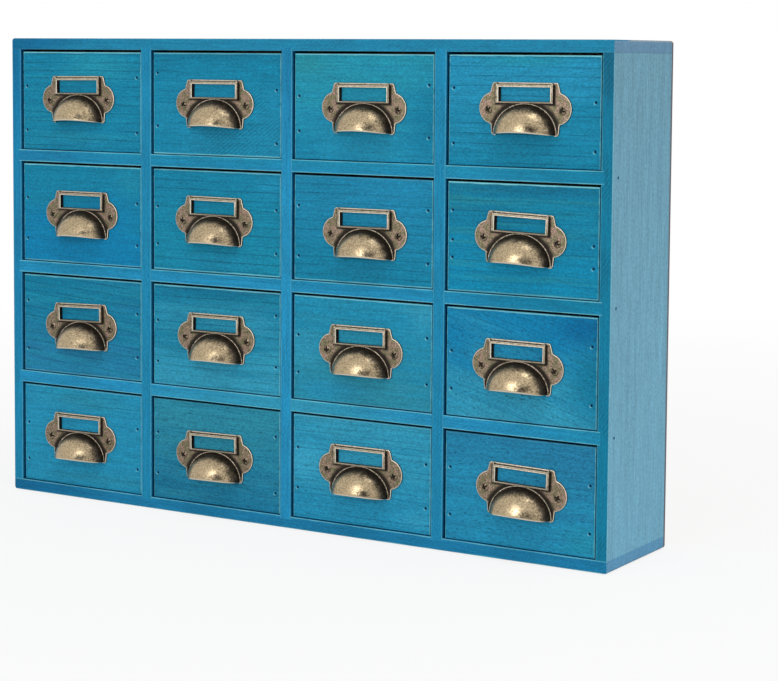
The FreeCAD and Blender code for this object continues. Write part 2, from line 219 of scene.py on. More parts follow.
@dataclass(frozen=True)
class GrainShow:
    """How strongly each mark of the grain shows through the stain.

    Args:
        rings: The strength of the year rings.
        ring_gap: The distance between them, in millimetres.
        wander: How far they wander.
        pores: The strength of the pores.
        saw: The strength of the saw marks.
    """

    rings: float
    ring_gap: float
    wander: float
    pores: float
    saw: float


class Figure(Enum):
    """The kinds of grain that the boards have."""

    QUIET = GrainShow(0.16, 9.0, 1.5, 0.15, 0.10)
    LINED = GrainShow(0.46, 7.5, 2.0, 0.20, 0.20)
    CLOSE = GrainShow(0.42, 4.8, 1.6, 0.45, 0.10)
    BANDED = GrainShow(0.30, 8.0, 2.0, 0.30, 0.05)
    FLOWING = GrainShow(0.22, 7.0, 3.0, 0.65, 0.15)
    SAWN = GrainShow(0.20, 9.0, 1.5, 0.20, 1.00)
    PORED = GrainShow(0.10, 12.0, 2.0, 0.62, 0.05)
    EDGE = GrainShow(0.20, 5.0, 1.0, 0.20, 0.45)
    EDGE_SAWN = GrainShow(0.14, 5.0, 1.0, 0.20, 0.90)


@dataclass(frozen=True)
class GrainMarks:
    """The masks of one board's grain, made once in its material's tree."""

    place: Link
    axes: Link
    depth: Link
    rise: Link
    fibres: Link
    streaks: Link
    mottle: Link
    rings: Link
    pores: Link
    saw: Link


@dataclass(frozen=True)
class WoodPattern:
    """The grain of one softwood board. All sizes are millimetres.

    Args:
        grain: The way the fibres run.
        show: How strongly each mark of the grain shows.
        seed: Which stretch of timber the board was cut from.
        slant: How far the fibres run downhill, in degrees.
    """

    grain: Grain
    show: GrainShow
    seed: float
    slant: float = 0.0

    noise_turn: Place = (0.4, 0.3, 0.7)
    fibre_size: Size = (26.0, 1.3)
    streak_size: Size = (150.0, 8.0)
    pore_size: Size = (4.5, 1.1)
    mottle_size: Size = (2.2, 1.5)
    timber_step: Place = (211.0, 97.0, 53.0)
    ring_share: float = 0.20
    ring_tilt: float = 0.06
    ring_stretch: float = 10.0
    ring_break_size: Size = (48.0, 5.0)
    saw_gap: float = 2.8
    saw_lean: float = -0.6
    saw_patch_size: Size = (50.0, 40.0)

    def grain_noise(self, tree: NodeTree, axes: Link, size: Size, detail: float) -> Node:
        """Makes noise whose spots have a real size along and across the fibres.

        Args:
            tree: The material's tree.
            axes: The place along, across and through the board.
            size: The size of a spot along and across.
            detail: How many finer layers the noise has.

        Returns:
            The noise, from 0 to 1.
        """
        along, across = size
        # The turn keeps the noise's own cells from lining up across the board.
        scaled = add_node(tree, "ShaderNodeMapping",
                          {"Vector": axes, "Scale": (1 / along, 1 / across, 1 / across),
                           "Rotation": self.noise_turn})
        return add_node(tree, "ShaderNodeTexNoise", {"Vector": scaled, "Scale": 1.0, "Detail": detail})

    def year_rings(self, tree: NodeTree, axes: Link) -> Node:
        """Returns the dark lines of late wood, as a board sawn beside the pith shows them."""
        tilt = self.ring_tilt * math.sin(2.3 * self.seed)
        moved = add_node(tree, "ShaderNodeMapping", {"Vector": axes, "Rotation": (0.0, 0.0, tilt),
                                                     "Scale": (1 / self.ring_stretch, 1.0, 1.0)})
        bands = add_node(tree, "ShaderNodeTexWave",
                         {"Vector": moved, "Scale": WAVE_BAND / self.show.ring_gap,
                          "Distortion": self.show.wander, "Detail": 2.0, "Detail Scale": 0.9},
                         wave_type="BANDS", bands_direction="Y", wave_profile="SAW")
        lines = add_node(tree, "ShaderNodeMapRange",
                         {"Value": bands, "From Min": 1 - self.ring_share, "From Max": 0.97},
                         interpolation_type="SMOOTHSTEP")
        broken = add_node(tree, "ShaderNodeMapRange",
                          {"Value": self.grain_noise(tree, axes, self.ring_break_size, 2.0),
                           "From Min": 0.38, "From Max": 0.58, "To Min": 0.12})
        return add_node(tree, "ShaderNodeMath", {0: lines, 1: broken}, operation="MULTIPLY")

    def saw_marks(self, tree: NodeTree, axes: Link) -> Node:
        """Returns patches of slanting saw marks, drawn 3 mm apart because real ones are too fine."""
        turned = add_node(tree, "ShaderNodeMapping",
                          {"Vector": axes, "Rotation": (0.0, 0.0, self.saw_lean)})
        lines = add_node(tree, "ShaderNodeTexWave",
                         {"Vector": turned, "Scale": WAVE_BAND / self.saw_gap, "Distortion": 1.4,
                          "Detail": 1.0}, wave_type="BANDS", bands_direction="Y", wave_profile="SIN")
        patches = add_node(tree, "ShaderNodeMapRange",
                           {"Value": self.grain_noise(tree, axes, self.saw_patch_size, 1.0),
                            "From Min": 0.44, "From Max": 0.60}, interpolation_type="SMOOTHSTEP")
        return add_node(tree, "ShaderNodeMath", {0: lines, 1: patches}, operation="MULTIPLY")

    def marks(self, tree: NodeTree) -> GrainMarks:
        """Makes every mask of the board's grain.

        Args:
            tree: The material's tree.

        Returns:
            The masks.
        """
        place = place_in_mm(tree)
        parts = add_node(tree, "ShaderNodeSeparateXYZ", {0: place}).outputs
        along, across, through = (parts[axis] for axis in self.grain.value)
        turned = add_node(tree, "ShaderNodeCombineXYZ", {0: along, 1: across, 2: through})
        axes = add_node(tree, "ShaderNodeMapping",
                        {"Vector": turned, "Rotation": (0.0, 0.0, math.radians(self.slant)),
                         "Location": [step * self.seed for step in self.timber_step]})
        pores = add_node(tree, "ShaderNodeMapRange",
                         {"Value": self.grain_noise(tree, axes, self.pore_size, 1.0),
                          "From Min": 0.62, "From Max": 0.70}, interpolation_type="SMOOTHSTEP")
        # Fibres are drawn about a millimetre wide, because real ones are too fine to show.
        return GrainMarks(place=place, axes=axes, depth=parts["Y"], rise=parts["Z"],
                          fibres=self.grain_noise(tree, axes, self.fibre_size, 3.0),
                          streaks=self.grain_noise(tree, axes, self.streak_size, 4.0),
                          mottle=self.grain_noise(tree, axes, self.mottle_size, 3.0),
                          rings=self.year_rings(tree, axes), pores=pores,
                          saw=self.saw_marks(tree, axes))


@dataclass(frozen=True)
class Board:
    """A board's place in the cabinet.

    Args:
        low: Its lowest corner, in millimetres.
        high: Its highest corner, in millimetres.
    """

    low: Vector
    high: Vector

    @classmethod
    def of_node(cls, node: str) -> "Board":
        """Returns the board of a node, from the frame."""
        low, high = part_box(node)
        return cls(low / MM, high / MM)

    def depths(self, tree: NodeTree, place: Link) -> Node:
        """Measures how far a place stands from the board's faces.

        Args:
            tree: The material's tree.
            place: The place in millimetres.

        Returns:
            The place's distance from the nearer face along X, Y and Z, where 0 is on that face and
            inside is below 0.
        """
        middle = tuple((self.low + self.high) / 2)
        half = tuple((self.high - self.low) / 2)
        offset = add_node(tree, "ShaderNodeVectorMath", {0: place, 1: middle}, operation="SUBTRACT")
        folded = add_node(tree, "ShaderNodeVectorMath", {0: offset}, operation="ABSOLUTE")
        depth = add_node(tree, "ShaderNodeVectorMath", {0: folded, 1: half}, operation="SUBTRACT")
        return add_node(tree, "ShaderNodeSeparateXYZ", {0: depth})

    def arris(self, tree: NodeTree, place: Link, way: Grain) -> Node:
        """Measures how near a place is to two edges of the board's front.

        Args:
            tree: The material's tree.
            place: The place in millimetres.
            way: Whether the level or the upright edges count.

        Returns:
            Minus the distance to the nearer edge in millimetres, so 0 is on the edge.
        """
        x, y, z = self.depths(tree, place).outputs
        return add_node(tree, "ShaderNodeMath", {0: z if way is Grain.LEVEL else x, 1: y},
                        operation="MINIMUM")


@dataclass(frozen=True)
class Patch:
    """A soft patch where the stain lies darker, lighter or greener.

    Args:
        x: Its middle as a share of the board's width, from the left.
        z: Its middle as a share of the board's height, from the foot.
        length: Its half-length in millimetres.
        width: Its half-width in millimetres.
        tone: Its colour.
        strength: How strong it is in its middle.
        slant: How far it leans, in degrees.
    """

    x: float
    z: float
    length: float
    width: float
    tone: Stain
    strength: float
    slant: float = 0.0

    def mask(self, tree: NodeTree, marks: GrainMarks, board: Board) -> Node:
        """Makes the patch's mask, ragged along the grain.

        Args:
            tree: The material's tree.
            marks: The board's grain.
            board: The board.

        Returns:
            The node that holds the mask.
        """
        size = board.high - board.low
        middle = (board.low.x + self.x * size.x, 0.0, board.low.z + self.z * size.z)
        shape = Matrix.Diagonal((1 / self.length, 0.0, 1 / self.width))
        turn = shape @ Matrix.Rotation(math.radians(self.slant), 3, "Y")
        offset = add_node(tree, "ShaderNodeVectorMath", {0: marks.place, 1: middle},
                          operation="SUBTRACT")
        along, across = (add_node(tree, "ShaderNodeVectorMath", {0: offset, 1: tuple(way)},
                                  operation="DOT_PRODUCT").outputs["Value"]
                         for way in (turn[0], turn[2]))
        flat = add_node(tree, "ShaderNodeCombineXYZ", {0: along, 1: across})
        reach = add_node(tree, "ShaderNodeVectorMath", {0: flat}, operation="LENGTH").outputs["Value"]
        ragged = add_node(tree, "ShaderNodeMath", {0: marks.streaks, 1: 1.2, 2: reach},
                          operation="MULTIPLY_ADD")
        return add_node(tree, "ShaderNodeMapRange",
                        {"Value": ragged, "From Min": 0.7, "From Max": 1.7, "To Min": self.strength,
                         "To Max": 0.0}, interpolation_type="SMOOTHSTEP")


@dataclass(frozen=True)
class Staining:
    """How one board took the stain, and how its grain shows through it.

    Args:
        upper: Its tone at the top.
        lower: Its tone at the foot.
        figure: How its grain shows.
        patches: Where the stain lies darker, lighter or greener.
        veil: The tone of long thin streaks, or None.
        veil_share: How strong they are.
        slant: How far its fibres run downhill, in degrees.
        foot_shade: How dark the painted shade along the eased lower edge of a drawer's face is.
        crown: How pale the rubbed line along a drawer's upper edge is.
        foot_rub_and_highlight: How pale the line along a drawer's lower edge is, partly rubbed wear and
            partly painted highlight.
    """

    upper: Stain
    lower: Stain
    figure: Figure
    patches: tuple[Patch, ...] = ()
    veil: Optional[Stain] = None
    veil_share: float = 0.5
    slant: float = 0.0
    foot_shade: float = 0.7
    crown: float = 0.6
    foot_rub_and_highlight: float = 0.0

    def pattern(self, grain: Grain, seed: float) -> WoodPattern:
        """Returns the board's grain, which runs one way and comes from one stretch of timber."""
        return WoodPattern(grain, self.figure.value, seed, self.slant)


@dataclass(frozen=True)
class StainedPine:
    """Planed softwood, brushed with a thin blue stain and rubbed at its edges.

    All sizes are millimetres.

    Args:
        name: The material's name.
        board: The board's place, whose edges are rubbed.
        pattern: The board's grain.
        staining: How the board took the stain.
        gap_shade_from: How far back, along Y, the painted shade of the gaps begins.
        bare_from: How far back the brush no longer reached.
        fade_depth: How ragged the end of the stain is there.
        shell: The case's outer box, whose skin is stained all over, or None for a drawer.
        brads: The places of the heads of the brads in its faces.
        gap_shade: The dark tone of the gaps: painted shade, and in part the stain lying darker on the
            boards' edges.
        rubbed_share: How pale the rubbed lines are.
        mottle_share: How strong the stain's fine mottle is.
        eased_foot: How tall the band of painted shade along the eased lower edge is.
    """

    name: str
    board: Board
    pattern: WoodPattern
    staining: Staining
    gap_shade_from: float
    bare_from: float
    fade_depth: float = 14.0
    shell: Optional[Board] = None
    brads: tuple[Place, ...] = ()
    gap_shade: Stain = Stain.GAP
    rubbed_share: float = 0.72
    mottle_share: float = 0.20
    eased_foot: float = 0.0

    bare: str = "#C9AC7E"
    bare_line: str = "#9C7848"
    rubbed: str = "#84D8E2"
    rubbed_reach: float = 0.38
    rubbed_width: float = 0.7
    eased_crown: float = 0.45
    out_of_reach: float = 9.0
    brad_radius: float = 1.1
    end_board: float = 10.0
    cloud_size: Size = (80.0, 45.0)
    veil_size: Size = (110.0, 5.0)
    uneven_size: Size = (16.0, 6.0)
    wash_size: Place = (5.0, 6.25, 166.7)
    wash_turn: Place = (0.7, 0.3, 0.4)
    fibre_share: float = 0.14
    saw_share: float = 0.26
    relief_depth: float = 0.22
    roughness: float = 0.60
    roughness_spread: float = 0.07

    def stain(self, tree: NodeTree, marks: GrainMarks) -> Node:
        """Blends the stain's tones over the board's face, in streaks and patches.

        Args:
            tree: The material's tree.
            marks: The board's grain.

        Returns:
            The node that holds the blended colour.
        """
        look = self.staining
        rise = add_node(tree, "ShaderNodeMapRange",
                        {"Value": marks.rise, "From Min": self.board.low.z, "From Max": self.board.high.z})
        drift: Link = rise
        clouds = self.pattern.grain_noise(tree, marks.axes, self.cloud_size, 2.0)
        for noise, spread in ((clouds, 1.3), (marks.streaks, 1.5)):
            drift = add_node(tree, "ShaderNodeMath", {0: noise, 1: spread, 2: drift},
                             operation="MULTIPLY_ADD")
        share = add_node(tree, "ShaderNodeMapRange", {"Value": drift, "From Min": 1.35, "From Max": 2.45},
                         interpolation_type="SMOOTHSTEP")
        coats = [(share, 1.0, look.upper.colour)]
        coats += [(patch.mask(tree, marks, self.board), 1.0, patch.tone.colour) for patch in look.patches]
        if look.veil is not None:
            thin = add_node(tree, "ShaderNodeMapRange",
                            {"Value": self.pattern.grain_noise(tree, marks.axes, self.veil_size, 2.0),
                             "From Min": 0.46, "From Max": 0.66}, interpolation_type="SMOOTHSTEP")
            coats.append((thin, look.veil_share, look.veil.colour))
        return coated(tree, look.lower.colour, coats)

    def skin(self, tree: NodeTree, marks: GrainMarks) -> tuple[Link, Link]:
        """Makes the masks of the case's outer skin, which end about half a millimetre down.

        Args:
            tree: The material's tree.
            marks: The board's grain.

        Returns:
            The mask of its two sides, which carry a paler painted sheen, and of its whole skin.
        """
        x, _, z = self.shell.depths(tree, marks.place).outputs
        side, level = (add_node(tree, "ShaderNodeMapRange",
                                {"Value": way, "From Min": -0.75, "From Max": -0.35},
                                interpolation_type="SMOOTHSTEP") for way in (x, z))
        return side, add_node(tree, "ShaderNodeMath", {0: side, 1: level}, operation="MAXIMUM")

    def sides_painted_sheen(self, tree: NodeTree, marks: GrainMarks) -> Node:
        """Returns the outer sides' paler painted sheen, with upright streaks and greyer board ends."""
        upright = add_node(tree, "ShaderNodeMapping",
                           {"Vector": marks.place, "Scale": [1 / size for size in self.wash_size],
                            "Rotation": self.wash_turn})
        streaks = add_node(tree, "ShaderNodeTexNoise", {"Vector": upright, "Scale": 1.0, "Detail": 4.0})
        low, high = self.shell.low.z + self.end_board, self.shell.high.z - self.end_board
        foot = add_node(tree, "ShaderNodeMath", {0: marks.rise, 1: low}, operation="LESS_THAN")
        head = add_node(tree, "ShaderNodeMath", {0: marks.rise, 1: high}, operation="GREATER_THAN")
        ends = add_node(tree, "ShaderNodeMath", {0: foot, 1: head}, operation="MAXIMUM")
        fall = add_node(tree, "ShaderNodeMapRange",
                        {"Value": marks.rise, "From Min": high, "From Max": low})
        long_grain, end_grain = (
            coated(tree, head_tone.colour, [(fall, 1.0, foot_tone.colour)])
            for head_tone, foot_tone in ((Stain.WASHED, Stain.WASHED_FOOT),
                                         (Stain.WASHED_END, Stain.WASHED_END_FOOT)))
        colour = coated(tree, long_grain, [(ends, 0.8, end_grain)])
        light = add_node(tree, "ShaderNodeMapRange",
                         {"Value": streaks, "From Min": 0.3, "From Max": 0.7,
                          "To Min": 0.92, "To Max": 1.08})
        return add_node(tree, "ShaderNodeHueSaturation", {"Color": colour, "Value": light})

    def shade(self, tree: NodeTree, marks: GrainMarks) -> Node:
        """Returns how light the fibres, the mottle and the saw marks leave a place, about 1."""
        fibres, mottle = (add_node(tree, "ShaderNodeMapRange",
                                   {"Value": noise, "From Min": 0.3, "From Max": 0.7,
                                    "To Min": 1 - spread, "To Max": 1 + spread})
                          for noise, spread in ((marks.fibres, self.fibre_share),
                                                (marks.mottle, self.mottle_share)))
        sawn = add_node(tree, "ShaderNodeMath",
                        {0: marks.saw, 1: -self.saw_share * self.pattern.show.saw, 2: 1.03},
                        operation="MULTIPLY_ADD")
        light = add_node(tree, "ShaderNodeMath", {0: fibres, 1: mottle}, operation="MULTIPLY")
        return add_node(tree, "ShaderNodeMath", {0: light, 1: sawn}, operation="MULTIPLY")

    def bare_wood(self, tree: NodeTree, marks: GrainMarks) -> tuple[Link, Link]:
        """Makes the pale wood that the stain never reached.

        Args:
            tree: The material's tree.
            marks: The board's grain.

        Returns:
            The wood's colour, and the ragged mask of where it shows.
        """
        wood = coated(tree, linear(self.bare), [(marks.rings, 0.5, linear(self.bare_line))])
        edge = add_node(tree, "ShaderNodeMath", {0: marks.fibres, 1: self.fade_depth, 2: marks.depth},
                        operation="MULTIPLY_ADD")
        mask = add_node(tree, "ShaderNodeMapRange",
                        {"Value": edge, "From Min": self.bare_from + 0.8 * self.fade_depth,
                         "From Max": self.bare_from + 1.5 * self.fade_depth},
                        interpolation_type="SMOOTHSTEP")
        return wood, mask

    def rubbed_lines(self) -> list[tuple[Board, Grain, float]]:
        """Lists the front edges that sanding cut through. A drawer's lower line is partly painted
        highlight.

        Returns:
            For each pair of edges, the board that has them, which way they run and how pale they
            are. An edge that isn't rubbed is moved out of reach.
        """
        low, high = self.board.low, self.board.high
        if self.shell is not None:
            return [(self.board, self.pattern.grain, self.rubbed_share)]
        up = Vector((0.0, 0.0, 1.0))
        foot, head = low + up * self.eased_foot, high - up * self.eased_crown
        away = up * self.out_of_reach
        return [(Board(foot, high), Grain.UPRIGHT, self.rubbed_share),
                (Board(low - away, head), Grain.LEVEL, self.staining.crown),
                # A drawer's lower line sits above the painted shade and is partly painted highlight.
                (Board(foot, high + away), Grain.LEVEL, self.staining.foot_rub_and_highlight)]

    def rubbed_edges_and_highlights(self, tree: NodeTree, marks: GrainMarks) -> Node:
        """Makes the mask of the pale lines along the front edges, and of the painted highlight round the
        brads.

        Args:
            tree: The material's tree.
            marks: The board's grain.

        Returns:
            The node that holds the mask.
        """
        uneven = self.pattern.grain_noise(tree, marks.axes, self.uneven_size, 3.0)
        mask: Value = 0.0
        for face, way, share in self.rubbed_lines():
            near = add_node(tree, "ShaderNodeMath",
                            {0: uneven, 1: 1.2, 2: face.arris(tree, marks.place, way)},
                            operation="MULTIPLY_ADD")
            line = add_node(tree, "ShaderNodeMapRange",
                            {"Value": near, "From Min": -self.rubbed_reach,
                             "From Max": self.rubbed_width - self.rubbed_reach, "To Max": share},
                            interpolation_type="SMOOTHSTEP")
            mask = add_node(tree, "ShaderNodeMath", {0: mask, 1: line}, operation="MAXIMUM")
        for x, y, z in self.brads:
            # A painted highlight on each brad's dimple: the pale ring stands a little to the lower left, so
            # it shows as a crescent.
            reach = add_node(tree, "ShaderNodeVectorMath", {0: marks.place, 1: (x - 0.8, y, z - 0.7)},
                             operation="DISTANCE").outputs["Value"]
            ring = add_node(tree, "ShaderNodeMapRange",
                            {"Value": reach, "From Min": 0.9, "From Max": 1.6,
                             "To Min": 0.5, "To Max": 0.0}, interpolation_type="SMOOTHSTEP")
            mask = add_node(tree, "ShaderNodeMath", {0: mask, 1: ring}, operation="MAXIMUM")
        front = add_node(tree, "ShaderNodeMapRange",
                         {"Value": marks.depth, "From Min": self.gap_shade_from - 0.4,
                          "From Max": self.gap_shade_from + 0.5, "To Min": 1.0, "To Max": 0.0})
        return add_node(tree, "ShaderNodeMath", {0: mask, 1: front}, operation="MULTIPLY")

    def painted_shade(self, tree: NodeTree, marks: GrainMarks) -> Link:
        """Makes the mask of painted shade: in the brads' holes and along the eased lower edge.

        Args:
            tree: The material's tree.
            marks: The board's grain.

        Returns:
            The mask.
        """
        foot = self.board.low.z + self.eased_foot
        mask: Link = add_node(tree, "ShaderNodeMapRange",
                              {"Value": marks.rise, "From Min": foot - 0.4, "From Max": foot,
                               "To Min": self.staining.foot_shade, "To Max": 0.0})
        for brad in self.brads:
            reach = add_node(tree, "ShaderNodeVectorMath", {0: marks.place, 1: brad},
                             operation="DISTANCE").outputs["Value"]
            hole = add_node(tree, "ShaderNodeMapRange",
                            {"Value": reach, "From Min": self.brad_radius,
                             "From Max": self.brad_radius + 0.4, "To Min": 0.95, "To Max": 0.0})
            mask = add_node(tree, "ShaderNodeMath", {0: mask, 1: hole}, operation="MAXIMUM")
        return mask

    def relief(self, tree: NodeTree, marks: GrainMarks) -> Node:
        """Returns the board's relief: raised fibres, and sunk rings, saw marks and pores."""
        show = self.pattern.show
        height: Link = marks.fibres
        for mask, depth in ((marks.rings, show.rings), (marks.saw, show.saw), (marks.pores, show.pores)):
            height = add_node(tree, "ShaderNodeMath", {0: mask, 1: -0.55 * depth, 2: height},
                              operation="MULTIPLY_ADD")
        return add_node(tree, "ShaderNodeBump",
                        {"Height": height, "Strength": 0.3, "Distance": self.relief_depth * MM})

    def material(self) -> Material:
        """Builds the board's material.

        Returns:
            The material.
        """
        # Brushed stain on planed pine: a matt, uneven blue-green with fine dark lines along the
        # fibres, and thin pale lines where sanding cut through to the wood. Painted shade darkens the
        # gaps, the brads' holes and a drawer's eased lower edge. A painted highlight crescent marks each
        # brad and partly makes the pale line above that edge, and the case's outer sides carry a paler
        # painted sheen.
        material, tree = new_material(self.name)
        show = self.pattern.show
        marks = self.pattern.marks(tree)
        # Painted shade: behind the front, in the gaps, the colour turns dark.
        gap_shade_mask: Link = add_node(tree, "ShaderNodeMapRange",
                                {"Value": marks.depth, "From Min": self.gap_shade_from,
                                 "From Max": self.gap_shade_from + 0.7, "To Max": 0.86},
                                interpolation_type="SMOOTHSTEP")
        bare, is_bare = self.bare_wood(tree, marks)
        over = []
        if self.shell is not None:
            side, skin = self.skin(tree, marks)
            inside = add_node(tree, "ShaderNodeMath", {0: 1.0, 1: skin}, operation="SUBTRACT")
            gap_shade_mask, is_bare, saw = (add_node(tree, "ShaderNodeMath", {0: mask, 1: inside},
                                             operation="MULTIPLY") for mask in (gap_shade_mask, is_bare, marks.saw))
            marks = replace(marks, saw=saw)
            # The outer sides carry a paler painted sheen over the stain.
            over = [(side, 0.97, self.sides_painted_sheen(tree, marks))]
        line = Stain.LINE.colour
        colour = coated(tree, self.stain(tree, marks),
                        [(marks.rings, show.rings, line), (marks.pores, 0.85 * show.pores, line),
                         (gap_shade_mask, 1.0, self.gap_shade.colour), (is_bare, 1.0, bare), *over])
        colour = add_node(tree, "ShaderNodeHueSaturation",
                          {"Color": colour, "Value": self.shade(tree, marks)})
        worn = [(self.rubbed_edges_and_highlights(tree, marks), 1.0, linear(self.rubbed))]
        # Painted shade, in the gaps' dark tone: the brads' holes and the eased lower edge.
        if self.brads:
            worn.append((self.painted_shade(tree, marks), 1.0, Stain.GAP.colour))
        rough = add_node(tree, "ShaderNodeMapRange",
                         {"Value": marks.fibres, "From Min": 0.3, "From Max": 0.7,
                          "To Min": self.roughness - self.roughness_spread,
                          "To Max": self.roughness + self.roughness_spread})
        shader = add_node(tree, "ShaderNodeBsdfPrincipled",
                          {"Base Color": coated(tree, colour, worn), "Roughness": rough,
                           "Normal": self.relief(tree, marks), "Specular IOR Level": 0.09})
        add_node(tree, "ShaderNodeOutputMaterial", {"Surface": shader})
        return material


@dataclass(frozen=True)
class BackPly:
    """Thin plywood with a bare veneer, dark at its cut edges."""

    name: str
    board: Board
    pattern: WoodPattern
    veneer: str = "#A98E6C"
    grain_line: str = "#7C6144"
    cut_edge: str = "#46505E"
    roughness: float = 0.7

    def material(self) -> Material:
        """Builds the panel's material.

        Returns:
            The material.
        """
        # Bare rotary-cut veneer: a dull brown sheet with upright grain, mauve-brown at its rim.
        material, tree = new_material(self.name)
        marks = self.pattern.marks(tree)
        x, _, z = self.board.depths(tree, marks.place).outputs
        rim = add_node(tree, "ShaderNodeMath", {0: x, 1: z}, operation="MAXIMUM")
        rim = add_node(tree, "ShaderNodeMapRange", {"Value": rim, "From Min": -0.6, "From Max": -0.1})
        line = linear(self.grain_line)
        colour = coated(tree, linear(self.veneer), [(marks.rings, 0.55, line), (marks.pores, 0.5, line),
                                                    (rim, 0.9, linear(self.cut_edge))])
        light = add_node(tree, "ShaderNodeMath", {0: marks.fibres, 1: marks.streaks}, operation="ADD")
        light = add_node(tree, "ShaderNodeMapRange",
                         {"Value": light, "From Min": 0.6, "From Max": 1.4, "To Min": 0.8, "To Max": 1.16})
        colour = add_node(tree, "ShaderNodeHueSaturation", {"Color": colour, "Value": light})
        bump = add_node(tree, "ShaderNodeBump",
                        {"Height": marks.fibres, "Strength": 0.3, "Distance": 0.2 * MM})
        shader = add_node(tree, "ShaderNodeBsdfPrincipled",
                          {"Base Color": colour, "Roughness": self.roughness, "Normal": bump})
        add_node(tree, "ShaderNodeOutputMaterial", {"Surface": shader})
        return material


@dataclass(frozen=True)
class AntiqueBronze:
    """Stamped zinc, plated antique bronze and relieved with a brush.

    The mesh's "finish" attribute says where the brush worked: red is a rubbed edge, green a dark
    corner and blue the brushed dome. The dark corners are partly patina in the hollows and partly
    painted shade and reflection. All sizes are millimetres.
    """

    name: str = "antique_bronze"
    olive: str = "#67624B"
    mauve: str = "#836F61"
    dome: str = "#C4B18F"
    dark: str = "#19130E"
    rubbed: str = "#D6CFBE"
    speckle: str = "#5A4632"
    plate_roughness: float = 0.50
    dome_roughness: float = 0.31
    grit_size: float = 1.3
    tint_size: float = 4.5
    blot_size: float = 5.0
    relief_depth: float = 0.12
    raggedness: float = 0.9

    def metal(self, tree: NodeTree, grit: Link, dome: Link, place: Link) -> Node:
        """Blends the plate's and the dome's metal, both speckled.

        Args:
            tree: The material's tree.
            grit: The speckle's noise.
            dome: Where the brush worked most.
            place: The place in millimetres.

        Returns:
            The node that holds the colour.
        """
        tint = add_node(tree, "ShaderNodeTexNoise",
                        {"Vector": place, "Scale": 1 / self.tint_size, "Detail": 3.0})
        tint = add_node(tree, "ShaderNodeMapRange", {"Value": tint, "From Min": 0.38, "From Max": 0.62},
                        interpolation_type="SMOOTHSTEP")
        plate = coated(tree, linear(self.olive), [(tint, 1.0, linear(self.mauve))])
        light = add_node(tree, "ShaderNodeMapRange",
                         {"Value": grit, "From Min": 0.3, "From Max": 0.7, "To Min": 0.24, "To Max": 1.90})
        plate = add_node(tree, "ShaderNodeHueSaturation", {"Color": plate, "Value": light})
        spots = add_node(tree, "ShaderNodeMapRange", {"Value": grit, "From Min": 0.36, "From Max": 0.70})
        raised = coated(tree, linear(self.dome), [(spots, 0.75, linear(self.speckle))])
        return coated(tree, plate, [(dome, 1.0, raised)])

    def ragged(self, tree: NodeTree, mark: Link, noise: Link, limits: Size) -> Node:
        """Breaks up the edge of a mark.

        Args:
            tree: The material's tree.
            mark: The mark, from 0 to 1.
            noise: The noise that breaks it.
            limits: The values that give 0 and 1.

        Returns:
            The broken mark.
        """
        moved = add_node(tree, "ShaderNodeMath",
                         {0: noise, 1: self.raggedness, 2: -self.raggedness / 2},
                         operation="MULTIPLY_ADD")
        moved = add_node(tree, "ShaderNodeMath", {0: moved, 1: mark}, operation="ADD")
        moved = add_node(tree, "ShaderNodeMapRange",
                         {"Value": moved, "From Min": limits[0], "From Max": limits[1]},
                         interpolation_type="SMOOTHSTEP")
        kept = add_node(tree, "ShaderNodeMapRange", {"Value": mark, "From Min": 0.02, "From Max": 0.2})
        return add_node(tree, "ShaderNodeMath", {0: moved, 1: kept}, operation="MULTIPLY")

    def material(self) -> Material:
        """Builds the metal's material.

        Returns:
            The material.
        """
        # Relieved antique bronze: a satin brown metal, warm and speckled where the brush cut
        # through, nearly black in its corners and pale along every edge. The dark marks are partly
        # patina in the hollows and partly painted shade and reflection.
        material, tree = new_material(self.name)
        place = place_in_mm(tree)
        finish = add_node(tree, "ShaderNodeAttribute", attribute_name="finish", attribute_type="GEOMETRY")
        edge, corner, dome = add_node(tree, "ShaderNodeSeparateColor", {0: finish.outputs["Color"]}).outputs
        grit = add_node(tree, "ShaderNodeTexNoise",
                        {"Vector": place, "Scale": 1 / self.grit_size, "Detail": 3.0, "Roughness": 0.65})
        blots = add_node(tree, "ShaderNodeTexNoise",
                         {"Vector": place, "Scale": 1 / self.blot_size, "Detail": 3.0})
        both = add_node(tree, "ShaderNodeMath", {0: grit, 1: blots}, operation="ADD")
        both = add_node(tree, "ShaderNodeMath", {0: both, 1: 0.5}, operation="MULTIPLY")
        # Patina in the hollows, together with the painted shade and reflection that the mesh marks dark.
        patina_and_painted_shade = self.ragged(tree, corner, both, (0.10, 0.72))
        worn = self.ragged(tree, edge, grit, (0.28, 0.85))
        colour = coated(tree, self.metal(tree, grit, dome, place),
                        [(patina_and_painted_shade, 0.96, linear(self.dark)), (worn, 0.8, linear(self.rubbed))])
        rough = add_node(tree, "ShaderNodeMapRange",
                         {"Value": dome, "To Min": self.plate_roughness, "To Max": self.dome_roughness})
        rough = add_node(tree, "ShaderNodeMath", {0: patina_and_painted_shade, 1: 0.12, 2: rough}, operation="MULTIPLY_ADD")
        bump = add_node(tree, "ShaderNodeBump",
                        {"Height": grit, "Strength": 0.25, "Distance": self.relief_depth * MM})
        metallic = add_node(tree, "ShaderNodeMath", {0: patina_and_painted_shade, 1: -0.12, 2: 1.0},
                            operation="MULTIPLY_ADD")
        shader = add_node(tree, "ShaderNodeBsdfPrincipled",
                          {"Base Color": colour, "Metallic": metallic, "Roughness": rough, "Normal": bump,
                           "Coat Weight": 0.10, "Coat Roughness": 0.22})
        add_node(tree, "ShaderNodeOutputMaterial", {"Surface": shader})
        return material


